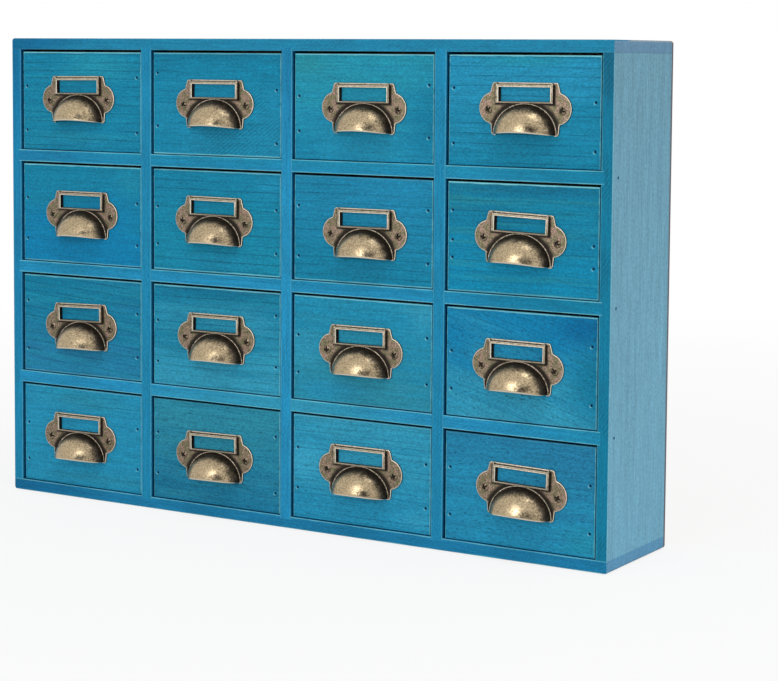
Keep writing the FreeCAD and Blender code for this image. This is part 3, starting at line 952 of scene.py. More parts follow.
@dataclass(frozen=True)
class BradSteel:
    """Plain steel wire, dulled by stain. Its grit is in millimetres."""

    name: str = "brad_steel"
    steel: str = "#14191D"
    stained: str = "#060B10"
    grit_size: float = 0.4545

    def material(self) -> Material:
        """Builds the wire's material.

        Returns:
            The material.
        """
        # Stained steel: a nearly black dot with a faint metal glint.
        material, tree = new_material(self.name)
        place = place_in_mm(tree)
        grit = add_node(tree, "ShaderNodeTexNoise",
                        {"Vector": place, "Scale": 1 / self.grit_size, "Detail": 2.0})
        shine = add_node(tree, "ShaderNodeMapRange", {"Value": grit, "From Min": 0.4, "From Max": 0.65})
        colour = coated(tree, linear(self.stained), [(shine, 1.0, linear(self.steel))])
        bump = add_node(tree, "ShaderNodeBump", {"Height": grit, "Strength": 0.3, "Distance": 0.1 * MM})
        shader = add_node(tree, "ShaderNodeBsdfPrincipled",
                          {"Base Color": colour, "Metallic": 1.0, "Roughness": 0.5, "Normal": bump})
        add_node(tree, "ShaderNodeOutputMaterial", {"Surface": shader})
        return material


def circle(radius: float, count: int, middle: Point2 = (0.0, 0.0)) -> list[Point2]:
    """Returns evenly spaced points round a circle, anticlockwise from its right."""
    angles = [math.tau * part / count for part in range(count)]
    return [(middle[0] + radius * math.cos(a), middle[1] + radius * math.sin(a)) for a in angles]


def box_corners(half: float, foot: float, top: float) -> list[Point2]:
    """Returns the four corners of a box that is centred across, anticlockwise."""
    return [(-half, foot), (half, foot), (half, top), (-half, top)]


def standing(path: Iterable[Point2], y: float, scale: float = 1.0) -> list[Vector]:
    """Stands a flat path up at a depth along Y, drawn in or not."""
    return [Vector((x * scale, y, z * scale)) for x, z in path]


def rounded_path(corners: Sequence[Place], steps: int = 4) -> list[Point2]:
    """Joins corners by straight lines and rounds each of them.

    Args:
        corners: The corners as x, z and the radius that rounds them, in order round the shape.
        steps: How many short straights make up a rounded corner.

    Returns:
        The points of the closed path.
    """
    path: list[Point2] = []
    for index, (x, z, radius) in enumerate(corners):
        here = Vector((x, z))
        before = Vector(corners[index - 1][:2]) - here
        after = Vector(corners[(index + 1) % len(corners)][:2]) - here
        if radius == 0:
            path.append((x, z))
            continue
        before.normalize()
        after.normalize()
        half_turn = before.angle(after) / 2
        reach = radius / math.tan(half_turn)
        centre = here + (before + after).normalized() * (radius / math.sin(half_turn))
        start = here + before * reach - centre
        end = here + after * reach - centre
        sweep = start.angle_signed(end)
        for part in range(steps + 1):
            turn = Matrix.Rotation(-sweep * part / steps, 2)
            path.append(tuple(centre + turn @ start))
    return path


def inset(path: Sequence[Point2], distance: float) -> list[Point2]:
    """Moves a closed path inwards.

    Args:
        path: The points, anticlockwise.
        distance: How far it moves.

    Returns:
        As many points, moved.
    """
    moved = []
    for index, point in enumerate(path):
        here = Vector(point)
        into = (here - Vector(path[index - 1])).normalized()
        out = (Vector(path[(index + 1) % len(path)]) - here).normalized()
        normals = Vector((-into.y, into.x)), Vector((-out.y, out.x))
        mitre = (normals[0] + normals[1]) / (1 + normals[0].dot(normals[1]))
        moved.append(tuple(here + mitre * distance))
    return moved


def is_inside(point: Point2, path: Sequence[Point2]) -> bool:
    """Says whether a point lies inside a closed path.

    Args:
        point: The point.
        path: The path's points.

    Returns:
        True if it does.
    """
    x, z = point
    inside = False
    for (x1, z1), (x2, z2) in zip(path, [*path[1:], path[0]]):
        if (z1 > z) != (z2 > z) and x < (x2 - x1) * (z - z1) / (z2 - z1) + x1:
            inside = not inside
    return inside


def filled(outline: Sequence[Point2], holes: Sequence[Sequence[Point2]], spacing: float,
           extra: Sequence[Point2] = ()) -> tuple[list[Point2], list[tuple[int, ...]]]:
    """Fills an outline with triangles of an even size.

    Args:
        outline: The outer path.
        holes: The paths of its holes.
        spacing: The distance between the points inside.
        extra: More points inside, where the finish changes quickly.

    Returns:
        The points, which start with those of the outline and the holes, and the triangles.
    """
    points: list[Point2] = list(outline)
    edges = [(i, (i + 1) % len(outline)) for i in range(len(outline))]
    for hole in holes:
        first = len(points)
        points.extend(hole)
        edges.extend((first + i, first + (i + 1) % len(hole)) for i in range(len(hole)))
    points.extend(extra)
    rim = [Vector(point) for point in points]
    xs, zs = [p[0] for p in outline], [p[1] for p in outline]
    row = 0
    z = min(zs) + spacing
    while z < max(zs):
        x = min(xs) + spacing * (1.0 if row % 2 else 0.5)
        while x < max(xs):
            inside = is_inside((x, z), outline) and not any(is_inside((x, z), hole) for hole in holes)
            if inside and min((Vector((x, z)) - p).length for p in rim) > spacing * 0.6:
                points.append((x, z))
            x += spacing
        z += spacing * 0.87
        row += 1
    made, _, faces, *_ = delaunay_2d_cdt([Vector(p) for p in points], edges, [], 0, 1e-6)
    kept = []
    for face in faces:
        middle = sum((made[i] for i in face), Vector((0, 0))) / len(face)
        if is_inside(tuple(middle), outline) and not any(is_inside(tuple(middle), h) for h in holes):
            kept.append(tuple(face))
    return [tuple(p) for p in made], kept


@dataclass
class Sheet:
    """A mesh while it is being made, in millimetres, with the finish of each point."""

    points: list[Vector] = field(default_factory=list)
    marks: list[Mark] = field(default_factory=list)
    faces: list[tuple[int, ...]] = field(default_factory=list)

    def row(self, points: Iterable[Vector], marks: Union[Mark, Sequence[Mark]]) -> list[int]:
        """Adds a row of points.

        Args:
            points: The points.
            marks: The finish of all of them, or of each.

        Returns:
            The numbers of the points.
        """
        first = len(self.points)
        self.points.extend(points)
        count = len(self.points) - first
        self.marks.extend(marks if isinstance(marks, list) else [marks] * count)
        return list(range(first, first + count))

    def join(self, rows: Sequence[Sequence[int]]) -> None:
        """Joins each row of points to the next by faces, all the way round.

        Args:
            rows: The numbers of the points of each row, all of them as many.
        """
        for first, second in zip(rows, rows[1:]):
            for i, here in enumerate(first):
                j = (i + 1) % len(first)
                self.faces.append((here, first[j], second[j], second[i]))

    def bar(self, low: Vector, high: Vector, ease: float, mark: Mark) -> None:
        """Adds a bar with eased edges.

        Args:
            low: Its lowest corner.
            high: Its highest corner.
            ease: How far its edges are cut back.
            mark: The finish of its edges.
        """
        half = (high - low) / 2
        middle = (high + low) / 2
        bar = bmesh.new()
        bmesh.ops.create_cube(bar, size=2.0, matrix=Matrix.Diagonal((*half, 1.0)))
        bmesh.ops.bevel(bar, geom=bar.edges[:], offset=ease, segments=2, profile=0.6, affect="EDGES")
        first = len(self.points)
        self.row([vertex.co + middle for vertex in bar.verts], mark)
        self.faces.extend(tuple(first + vertex.index for vertex in face.verts) for face in bar.faces)
        bar.free()

    def mesh(self, name: str) -> Mesh:
        """Turns the sheet into a mesh in metres, smooth except at its sharp edges.

        Args:
            name: The mesh's name.

        Returns:
            The mesh.
        """
        mesh = bpy.data.meshes.new(name)
        mesh.from_pydata([point * MM for point in self.points], [], self.faces)
        finish = mesh.attributes.new("finish", "FLOAT_COLOR", "POINT")
        finish.data.foreach_set("color", [value for mark in self.marks for value in (*mark, 1.0)])
        shape = bmesh.new()
        shape.from_mesh(mesh)
        bmesh.ops.remove_doubles(shape, verts=shape.verts, dist=0.002 * MM)
        bmesh.ops.dissolve_degenerate(shape, edges=shape.edges, dist=0.001 * MM)
        bmesh.ops.recalc_face_normals(shape, faces=shape.faces)
        shape.to_mesh(mesh)
        shape.free()
        mesh.shade_smooth()
        mesh.set_sharp_from_angle(angle=math.radians(50))
        return mesh


@dataclass(frozen=True)
class PullShape:
    """The stamped pull: a plate with two round ears, a raised card frame and a finger cup.

    All sizes are millimetres. The pull stands on z = 0 with its back on y = 0, and its front
    looks along -Y.
    """

    height: float = 41.4
    plate: float = 1.2
    top_half: float = 28.6
    foot_half: float = 29.4
    upper_waist_half: float = 34.1
    lower_waist_half: float = 31.5
    top_round: float = 2.2
    foot_round: float = 2.6
    ear_radius: float = 12.5
    ear_reach: float = 28.0
    ear_lift: float = 21.2
    neck_round: float = 1.2
    cup_half: float = 26.2
    cup_height: float = 22.8
    cup_lift: float = 0.8
    cup_projection: float = 17.2
    cup_wall: float = 1.2
    cup_fullness: float = 0.98
    lip_bow: float = 2.0
    frame_half: float = 25.0
    frame_height: float = 14.5
    frame_drop: float = 1.6
    frame_raise: float = 2.0
    card_gap: float = 0.8
    side_rail: float = 2.25
    top_rail: float = 2.0
    foot_rail: float = 1.05
    post: float = 1.1
    ledge: float = 1.0
    foot_ledge: float = 0.35
    screw_spread: float = 32.55
    screw_lift: float = 20.1
    arris: float = 0.45
    grid: float = 1.25
    cup_segments: int = 72
    arch_segments: int = 48
    ear_segments: int = 22
    cup_seat: float = 0.6
    window_round: float = 0.3
    screw_rings: tuple[float, ...] = (2.9, 3.4, 3.9, 4.5)
    screw_shade: Size = (3.0, 3.8)
    frame_shade: float = 2.8
    cup_shade: float = 4.6
    cup_shade_from: float = 2.2
    # How dark the ring round the dome's foot is: patina in the hollow, and painted dark reflection.
    ring_patina_and_reflection: float = 0.66
    # A painted dark reflection low on the dome's right: its strength, middle and size.
    dark_reflection_strength: float = 0.60
    dark_reflection_place: Point2 = (12.0, 5.5)
    dark_reflection_size: Point2 = (8.0, 4.5)

    def ear_points(self) -> list[Place]:
        """Returns the right ear's corners, from its lower neck round to its upper neck."""
        centre = Vector((self.ear_reach, self.ear_lift))
        ends = []
        for root, waist in ((Vector((self.foot_half, 0.0)), self.lower_waist_half),
                            (Vector((self.top_half, self.height)), self.upper_waist_half)):
            met = intersect_line_sphere_2d(root, Vector((waist, self.ear_lift)), centre, self.ear_radius)
            neck = next(point for point in met if point is not None) - centre
            ends.append(math.atan2(neck.y, neck.x))
        first, last = ends
        ear = []
        for part in range(self.ear_segments + 1):
            angle = first + (last - first) * part / self.ear_segments
            ear.append((centre.x + self.ear_radius * math.cos(angle),
                        centre.y + self.ear_radius * math.sin(angle),
                        self.neck_round if part in (0, self.ear_segments) else 0.0))
        return ear

    def arch(self, shrink: float, count: int) -> list[Point2]:
        """Returns the cup's arch on the plate, from its right foot over to its left."""
        half, rise = self.cup_half - shrink, self.cup_height - shrink
        angles = [math.pi * part / count for part in range(count + 1)]
        return [(half * math.cos(a), self.cup_lift + rise * math.sin(a)) for a in angles]

    def plate_outline(self) -> list[Point2]:
        """Returns the plate's outline, anticlockwise, with the cup's arch cut out of its foot."""
        right = [(self.cup_half - self.cup_seat, 0.0, 0.0), (self.foot_half, 0.0, self.foot_round),
                 *self.ear_points(), (self.top_half, self.height, self.top_round)]
        left = [(-x, z, radius) for x, z, radius in reversed(right)]
        arch = [(x, z, 0.0) for x, z in reversed(self.arch(self.cup_seat, self.arch_segments))]
        return rounded_path([*right, *left, *arch])

    def points_round_screws(self) -> list[Point2]:
        """Returns rings of points round both screws, where a painted shadow darkens the metal beside their
        heads.
        """
        return [point for side in (-1, 1) for radius in self.screw_rings
                for point in circle(radius, 20, (side * self.screw_spread, self.screw_lift))]

    def frame_limits(self) -> Size:
        """Returns the heights of the card frame's lower and upper edges."""
        top = self.height - self.frame_drop
        return top - self.frame_height, top

    def add_plate(self, sheet: Sheet) -> None:
        """Adds the flat plate: a rubbed rim, a side wall painted dark as shade, and dark marks beside the
        cup, frame and screws.
        """
        outline = self.plate_outline()
        low, high = self.frame_limits()
        half = self.frame_half - self.side_rail - self.ledge
        sill, head = low + self.foot_rail + self.foot_ledge, high - self.top_rail
        window = rounded_path([(x, z, self.window_round) for x, z in box_corners(half, sill, head)])
        # Each point of the rim: how far in, its depth, how rubbed and how dark it is. The side
        # wall, the first two points, is painted dark as the shade along the plate's edge.
        rim = ((0.0, 0.0, 0.0, 1.0), (0.0, 0.25 - self.plate, 0.0, 1.0),
               (0.05, 0.18 - self.plate, 0.9, 0.0), (0.13, 0.13 - self.plate, 1.0, 0.0),
               (self.arris, -self.plate, 0.8, 0.0), (0.85, -self.plate, 0.0, 0.05))
        rows = []
        for distance, y, edge, corner in rim:
            path = inset(outline, distance) if distance else outline
            rows.append(sheet.row(standing(path, y), (edge, corner, 0.0)))
        sheet.join(rows)
        for y, path in ((-self.plate, inset(outline, rim[-1][0])), (0.0, outline)):
            points, faces = filled(path, [window], self.grid, self.points_round_screws())
            marks = [(0.0, self.corner_mark(x, z), 0.0) for x, z in points]
            numbers = sheet.row(standing(points, y), marks)
            sheet.faces.extend(tuple(numbers[i] for i in face) for face in faces)
        sheet.join([sheet.row(standing(window, -self.plate), (0.2, 0.4, 0.0)),
                    sheet.row(standing(window, 0.0), (0.0, 1.0, 0.0))])

    def corner_mark(self, x: float, z: float) -> float:
        """Says how dark the plate is at a place: beside the card frame and the cup, and in a painted shadow
        by each screw.

        Args:
            x: The place across.
            z: The place upwards.

        Returns:
            From 0, plain, to 1, nearly black.
        """
        low, high = self.frame_limits()
        beside = max(abs(x) - self.frame_half, low - z, z - high)
        reach = math.hypot(x / (self.cup_half + self.cup_shade_from),
                           (z - self.cup_lift) / (self.cup_height + self.cup_shade_from))
        from_arch = (reach - 1) * self.cup_height
        frame_dark = max(0.0, 1 - abs(beside) / self.frame_shade) if beside > -0.2 else 1.0
        if z > high:
            frame_dark *= 0.4
        arch_dark = max(0.0, 1 - abs(from_arch) / self.cup_shade)
        right, up = x - math.copysign(self.screw_spread, x), z - self.screw_lift
        from_screw = math.hypot(right, up)
        # A painted shadow: the dark crescent lies to the lower right of each screw, where it is 1 at its
        # middle.
        lee = 0.5 + 0.5 * (right - up) / (1.42 * max(from_screw, 0.01))
        near, far = self.screw_shade
        screw_shadow = max(0.0, 2.6 * lee - 1.6) if near < from_screw < far else 0.0
        return min(1.0, max(frame_dark, arch_dark, screw_shadow, 0.05))

    def add_frame(self, sheet: Sheet) -> None:
        """Adds the card frame: four rails with pale edges, on two posts and a foot bar."""
        low, high = self.frame_limits()
        face = -self.plate - self.frame_raise
        back = -self.plate - self.card_gap
        # Each point of a rail's section: the share of its width, its depth, how rubbed and how dark.
        rail = ((0.0, back, 0.2, 0.3), (0.0, face + 0.35, 0.3, 0.0), (0.06, face + 0.10, 0.75, 0.0),
                (0.16, face, 0.7, 0.0), (0.30, face + 0.14, 0.1, 0.3), (0.62, face + 0.14, 0.2, 0.25),
                (0.78, face, 0.95, 0.0), (0.94, face + 0.10, 1.0, 0.0), (1.0, face + 0.35, 0.7, 0.0),
                (1.0, back, 0.1, 0.9))
        rows = []
        for share, y, edge, corner in rail:
            half = self.frame_half - self.side_rail * share
            foot, top = low + self.foot_rail * share, high - self.top_rail * share
            ease = 0.8 - 0.4 * share
            path = rounded_path([(x, z, ease) for x, z in box_corners(half, foot, top)])
            # The top rail is brushed all over, so it is paler than the others.
            marks = [(max(edge, 0.35), 0.4 * corner, 0.25) if z > high - self.top_rail
                     else (edge, corner, 0.25) for _, z in path]
            rows.append(sheet.row(standing(path, y), marks))
        sheet.join([*rows, rows[0]])
        inner = self.frame_half - self.post
        painted_shade = -self.plate + 0.05
        for side in (-1, 1):
            left, right = sorted((side * inner, side * self.frame_half))
            sheet.bar(Vector((left, face + 0.02, low + 0.4)), Vector((right, painted_shade, self.height - 0.15)),
                      0.22, (0.45, 0.25, 0.1))
        sheet.bar(Vector((-inner, back - 0.1, low)), Vector((inner, painted_shade, low + self.post)), 0.15,
                  (0.2, 0.7, 0.0))

    def dome(self, turn: float, rise: float, shrink: float) -> Vector:
        """Returns a point of the cup.

        Args:
            turn: The angle round the arch, from 0 at the right foot to pi at the left.
            rise: The angle from the plate, 0, to straight out, half pi.
            shrink: How far inside the outer face the point lies.

        Returns:
            The point.
        """
        base = self.plate + 0.2
        half, height = self.cup_half - shrink, self.cup_height - shrink
        swell = (math.sin(turn) * math.sin(rise)) ** self.cup_fullness
        y = -base - (self.cup_projection - base - shrink) * swell
        return Vector((half * math.cos(turn), y, self.cup_lift + height * math.sin(turn) * math.cos(rise)))

    def cup_profile(self, turn: float) -> tuple[list[Vector], list[Mark]]:
        """Follows the cup's section round once, at one angle of the arch.

        Args:
            turn: The angle round the arch.

        Returns:
            The points, from the outside of the bead over the dome and the lip to the back of the
            inside, and the finish of each.
        """
        along, up = math.cos(turn), math.sin(turn)
        foot = Vector((self.cup_half * along, 0.0, self.cup_lift + self.cup_height * up))
        outward = Vector((along / self.cup_half, 0.0, up / self.cup_height)).normalized()
        # Each point of the bead: how far out, how far off the plate, how rubbed and how dark.
        bead = ((2.5, -0.3, 0.0, 0.6), (2.1, 0.03, 0.1, 0.9), (1.75, 0.30, 0.7, 0.2),
                (1.35, 0.44, 1.0, 0.0), (0.95, 0.36, 0.9, 0.0), (0.65, 0.12, 0.1, 0.8),
                (0.38, 0.02, 0.0, 1.0), (0.14, 0.06, 0.0, 1.0))
        points = [foot + outward * reach - Vector((0.0, self.plate + lift, 0.0))
                  for reach, lift, _, _ in bead]
        marks: list[Mark] = [(edge * 0.52, corner, 0.0) for _, _, edge, corner in bead]
        lip = math.acos(min(1.0, self.lip_bow * up / self.cup_height))
        steps, inner_steps = 22, 10
        for part in range(steps + 1):
            rise = lip * (part / steps) ** 1.15
            points.append(self.dome(turn, rise, 0.0))
            marks.append(self.dome_mark(points[-1], turn, part / steps))
        outer_lip, inner_lip = points[-1], self.dome(turn, lip, self.cup_wall)
        for share, drop, edge in ((0.14, 0.16, 1.0), (0.5, 0.26, 0.8), (0.86, 0.16, 0.5)):
            points.append(outer_lip.lerp(inner_lip, share) - Vector((0.0, 0.0, drop)))
            marks.append((edge, 0.0, 0.6))
        for part in range(inner_steps + 1):
            points.append(self.dome(turn, lip * (1 - part / inner_steps), self.cup_wall))
            marks.append((0.0, 0.75, 0.0))
        points.append(Vector((points[-1].x, 0.0, points[-1].z)))
        marks.append((0.0, 1.0, 0.0))
        return points, marks

    def dome_mark(self, point: Vector, turn: float, share: float) -> Mark:
        """Says how a place on the dome is finished.

        Args:
            point: The place.
            turn: Its angle round the arch.
            share: How far it lies from the plate, 0, to the lip, 1.

        Returns:
            Its finish.
        """
        reach = math.hypot(point.x / self.cup_half, (point.z - self.cup_lift) / self.cup_height)
        from_arch = (1 - reach) * self.cup_height
        # The ring round the dome's foot: patina in the hollow, and where it widens over the top and at the
        # right foot, painted dark reflection.
        width = 3.4 + 4.0 * math.sin(turn) ** 3 + 4.4 * max(0.0, math.cos(turn)) ** 3
        ring = max(0.0, min(1.0, 1.15 - from_arch / width))
        # A painted dark reflection: a soft patch low on the dome's right.
        across, up = ((here - middle) / size for here, middle, size
                      in zip((point.x, point.z), self.dark_reflection_place, self.dark_reflection_size))
        patch = self.dark_reflection_strength * math.exp(-(across ** 2 + up ** 2))
        corner = max(self.ring_patina_and_reflection * ring, patch, 0.10)
        edge = max(0.0, (share - 0.965) / 0.035)
        return edge, corner * (1 - edge), min(1.0, 0.3 + from_arch / 4.0)

    def add_cup(self, sheet: Sheet) -> None:
        """Adds the cup: a bead on the plate, the dome, its rounded lip and its inside."""
        turns = [math.pi * part / self.cup_segments for part in range(self.cup_segments + 1)]
        rows = [sheet.row(*self.cup_profile(turn)) for turn in turns]
        sheet.join(rows)
        sheet.faces.append(tuple(rows[0]))
        sheet.faces.append(tuple(reversed(rows[-1])))

    def mesh(self) -> Mesh:
        """Builds the whole pull in its own frame.

        Returns:
            The mesh, in metres.
        """
        sheet = Sheet()
        self.add_plate(sheet)
        self.add_frame(sheet)
        self.add_cup(sheet)
        return sheet.mesh("pull")


@dataclass(frozen=True)
class ScrewShape:
    """A small round-headed screw with a crossed recess, in millimetres.

    It stands in its own frame with its seat at the origin and its head along -Y.
    """

    head_radius: float = 3.2
    head_height: float = 1.0
    top_share: float = 0.97
    shank_radius: float = 1.5
    length: float = 9.5
    shoulder: float = 0.75
    tip_share: float = 0.3
    span: float = 4.8
    width: float = 1.60
    depth: float = 0.8
    floor_share: float = 0.8

    def dome(self, x: float, z: float) -> float:
        """Returns the height of the head over its seat at a place."""
        crown = (self.head_radius ** 2 + self.head_height ** 2) / (2 * self.head_height)
        return math.sqrt(max(0.0, crown ** 2 - x * x - z * z)) - crown + self.head_height

    def mesh(self) -> Mesh:
        """Builds the screw.

        Returns:
            The mesh, in metres.
        """
        sheet = Sheet()
        dark = (0.0, 1.0, 0.0)
        edge = circle(self.head_radius * self.top_share, 32)
        tip, arm = self.span / 2, self.width / 2
        cross = [(x * c - z * s, x * s + z * c) for c, s in ((1, 0), (0, 1), (-1, 0), (0, -1))
                 for x, z in ((tip, -arm), (tip, arm), (arm, arm))]
        points, faces = filled(edge, [cross], 0.7)
        top = sheet.row([Vector((x, -self.dome(x, z), z)) for x, z in points], (0.12, 0.05, 0.15))
        sheet.faces.extend(tuple(top[i] for i in face) for face in faces)
        seat = sheet.row(standing(circle(self.head_radius, 32), 0.0), dark)
        shank = circle(self.shank_radius, 32)
        neck = sheet.row(standing(shank, 0.0), dark)
        point = sheet.row(standing(shank, self.length, self.tip_share), dark)
        shoulder = sheet.row(standing(shank, self.length * self.shoulder), dark)
        sheet.join([top[:len(edge)], seat, neck, shoulder, point])
        sheet.faces.append(tuple(point))
        rim = sheet.row([sheet.points[i].copy() for i in top[len(edge):len(edge) + len(cross)]], dark)
        floor = sheet.row(standing(cross, self.depth - self.head_height, self.floor_share), dark)
        sheet.join([rim, floor])
        sheet.faces.append(tuple(floor))
        return sheet.mesh("screw")


@dataclass(frozen=True)
class Fastener:
    """One kind of fastener, and the Geometry Nodes tree that sets it at every point of a mesh.

    Args:
        name: What the kind is called.
        pattern: The object that is copied.
        metal: Its material.
        tree: The tree.
    """

    name: str
    pattern: Object
    metal: Material
    tree: NodeTree

    @classmethod
    def make(cls, name: str, shape: Mesh, metal: Material,
             turned: bool) -> "Fastener":
        """Makes a kind of fastener.

        Args:
            name: What the kind is called.
            shape: The mesh of one of them, about the origin.
            metal: Its material.
            turned: Whether each of them gets a turn of its own about the Y axis.

        Returns:
            The kind.
        """
        return cls(name, bpy.data.objects.new(name + "_pattern", shape), metal,
                   cls.placing_tree(name, turned))

    @staticmethod
    def placing_tree(name: str, turned: bool) -> NodeTree:
        """Builds the tree, with the fastener, its seed and its material as named inputs.

        Args:
            name: The tree's name.
            turned: Whether each fastener gets a turn of its own.

        Returns:
            The tree.
        """
        tree = bpy.data.node_groups.new(name, "GeometryNodeTree")
        for socket, kind in (("Points", "Geometry"), ("Fastener", "Object"), ("Turn Seed", "Int"),
                             ("Material", "Material")):
            tree.interface.new_socket(socket, in_out="INPUT", socket_type="NodeSocket" + kind)
        tree.interface.new_socket("Geometry", in_out="OUTPUT", socket_type="NodeSocketGeometry")
        given = add_node(tree, "NodeGroupInput").outputs
        fastener = add_node(tree, "GeometryNodeObjectInfo", {"Object": given["Fastener"]})
        inputs = {"Points": given["Points"], "Instance": fastener.outputs["Geometry"]}
        if turned:
            turn = add_node(tree, "FunctionNodeRandomValue",
                            {"Min": (0.0, -math.pi, 0.0), "Max": (0.0, math.pi, 0.0),
                             "Seed": given["Turn Seed"]}, data_type="FLOAT_VECTOR")
            inputs["Rotation"] = turn.outputs[0]
        placed = add_node(tree, "GeometryNodeInstanceOnPoints", inputs)
        plain = add_node(tree, "GeometryNodeRealizeInstances", {"Geometry": placed.outputs["Instances"]})
        dressed = add_node(tree, "GeometryNodeSetMaterial",
                           {"Geometry": plain.outputs["Geometry"], "Material": given["Material"]})
        add_node(tree, "NodeGroupOutput", {"Geometry": dressed.outputs["Geometry"]})
        return tree

    def scatter(self, name: str, places: Sequence[Vector], seed: int) -> Object:
        """Sets a fastener at each place and returns them as one plain mesh.

        Args:
            name: The piece's name.
            places: The places in metres.
            seed: Fixes the turns.

        Returns:
            The piece, at the origin, with no modifier.
        """
        points = bpy.data.meshes.new(name + "_points")
        points.from_pydata(places, [], [])
        carrier = linked_object(name + "_points", points)
        modifier = carrier.modifiers.new("fasteners", "NODES")
        modifier.node_group = self.tree
        values = {"Fastener": self.pattern, "Turn Seed": seed, "Material": self.metal}
        for item in self.tree.interface.items_tree:
            if item.in_out == "INPUT" and item.name in values:
                modifier[item.identifier] = values[item.name]
        carrier.update_tag()
        graph = bpy.context.evaluated_depsgraph_get()
        graph.update()
        mesh = bpy.data.meshes.new_from_object(carrier.evaluated_get(graph), depsgraph=graph)
        mesh.name = name
        bpy.data.objects.remove(carrier)
        return linked_object(name, mesh)


@dataclass(frozen=True)
class Solid:
    """One closed solid of a CAD node, as its lowest and highest corners in metres."""

    low: Vector
    high: Vector

    @property
    def middle(self) -> Vector:
        """The middle of its box."""
        return (self.low + self.high) / 2

    @property
    def width(self) -> float:
        """Its width along X."""
        return self.high.x - self.low.x


def solids_of(node: Object) -> list[Solid]:
    """Finds the separate solids of a CAD node.

    Args:
        node: The node's object, whose mesh is left alone.

    Returns:
        Its solids, in the order of their lowest corners.
    """
    shape = bmesh.new()
    shape.from_mesh(node.data)
    bmesh.ops.remove_doubles(shape, verts=shape.verts, dist=0.001 * MM)
    unseen = set(shape.verts)
    solids = []
    while unseen:
        seed = unseen.pop()
        found, waiting = [seed], [seed]
        while waiting:
            for edge in waiting.pop().link_edges:
                for vertex in edge.verts:
                    if vertex in unseen:
                        unseen.discard(vertex)
                        found.append(vertex)
                        waiting.append(vertex)
        places = [vertex.co for vertex in found]
        low = Vector([min(place[axis] for place in places) for axis in range(3)])
        high = Vector([max(place[axis] for place in places) for axis in range(3)])
        solids.append(Solid(low, high))
    shape.free()
    return sorted(solids, key=lambda solid: tuple(solid.low))


def dress(piece: Object, material: Material) -> None:
    """Gives every material slot of an object one material."""
    if not piece.material_slots:
        piece.data.materials.append(material)
    for slot in piece.material_slots:
        slot.material = material


@dataclass(frozen=True)
class CaseSizes:
    """The case's sizes that its materials need, in millimetres.

    Args:
        shell: Its outer box.
        lip: How far back the front edges' own tone reaches.
        stained_depth: How far into the openings the brush reached.
    """

    shell: Board
    lip: float = 0.45
    stained_depth: float = 18.0


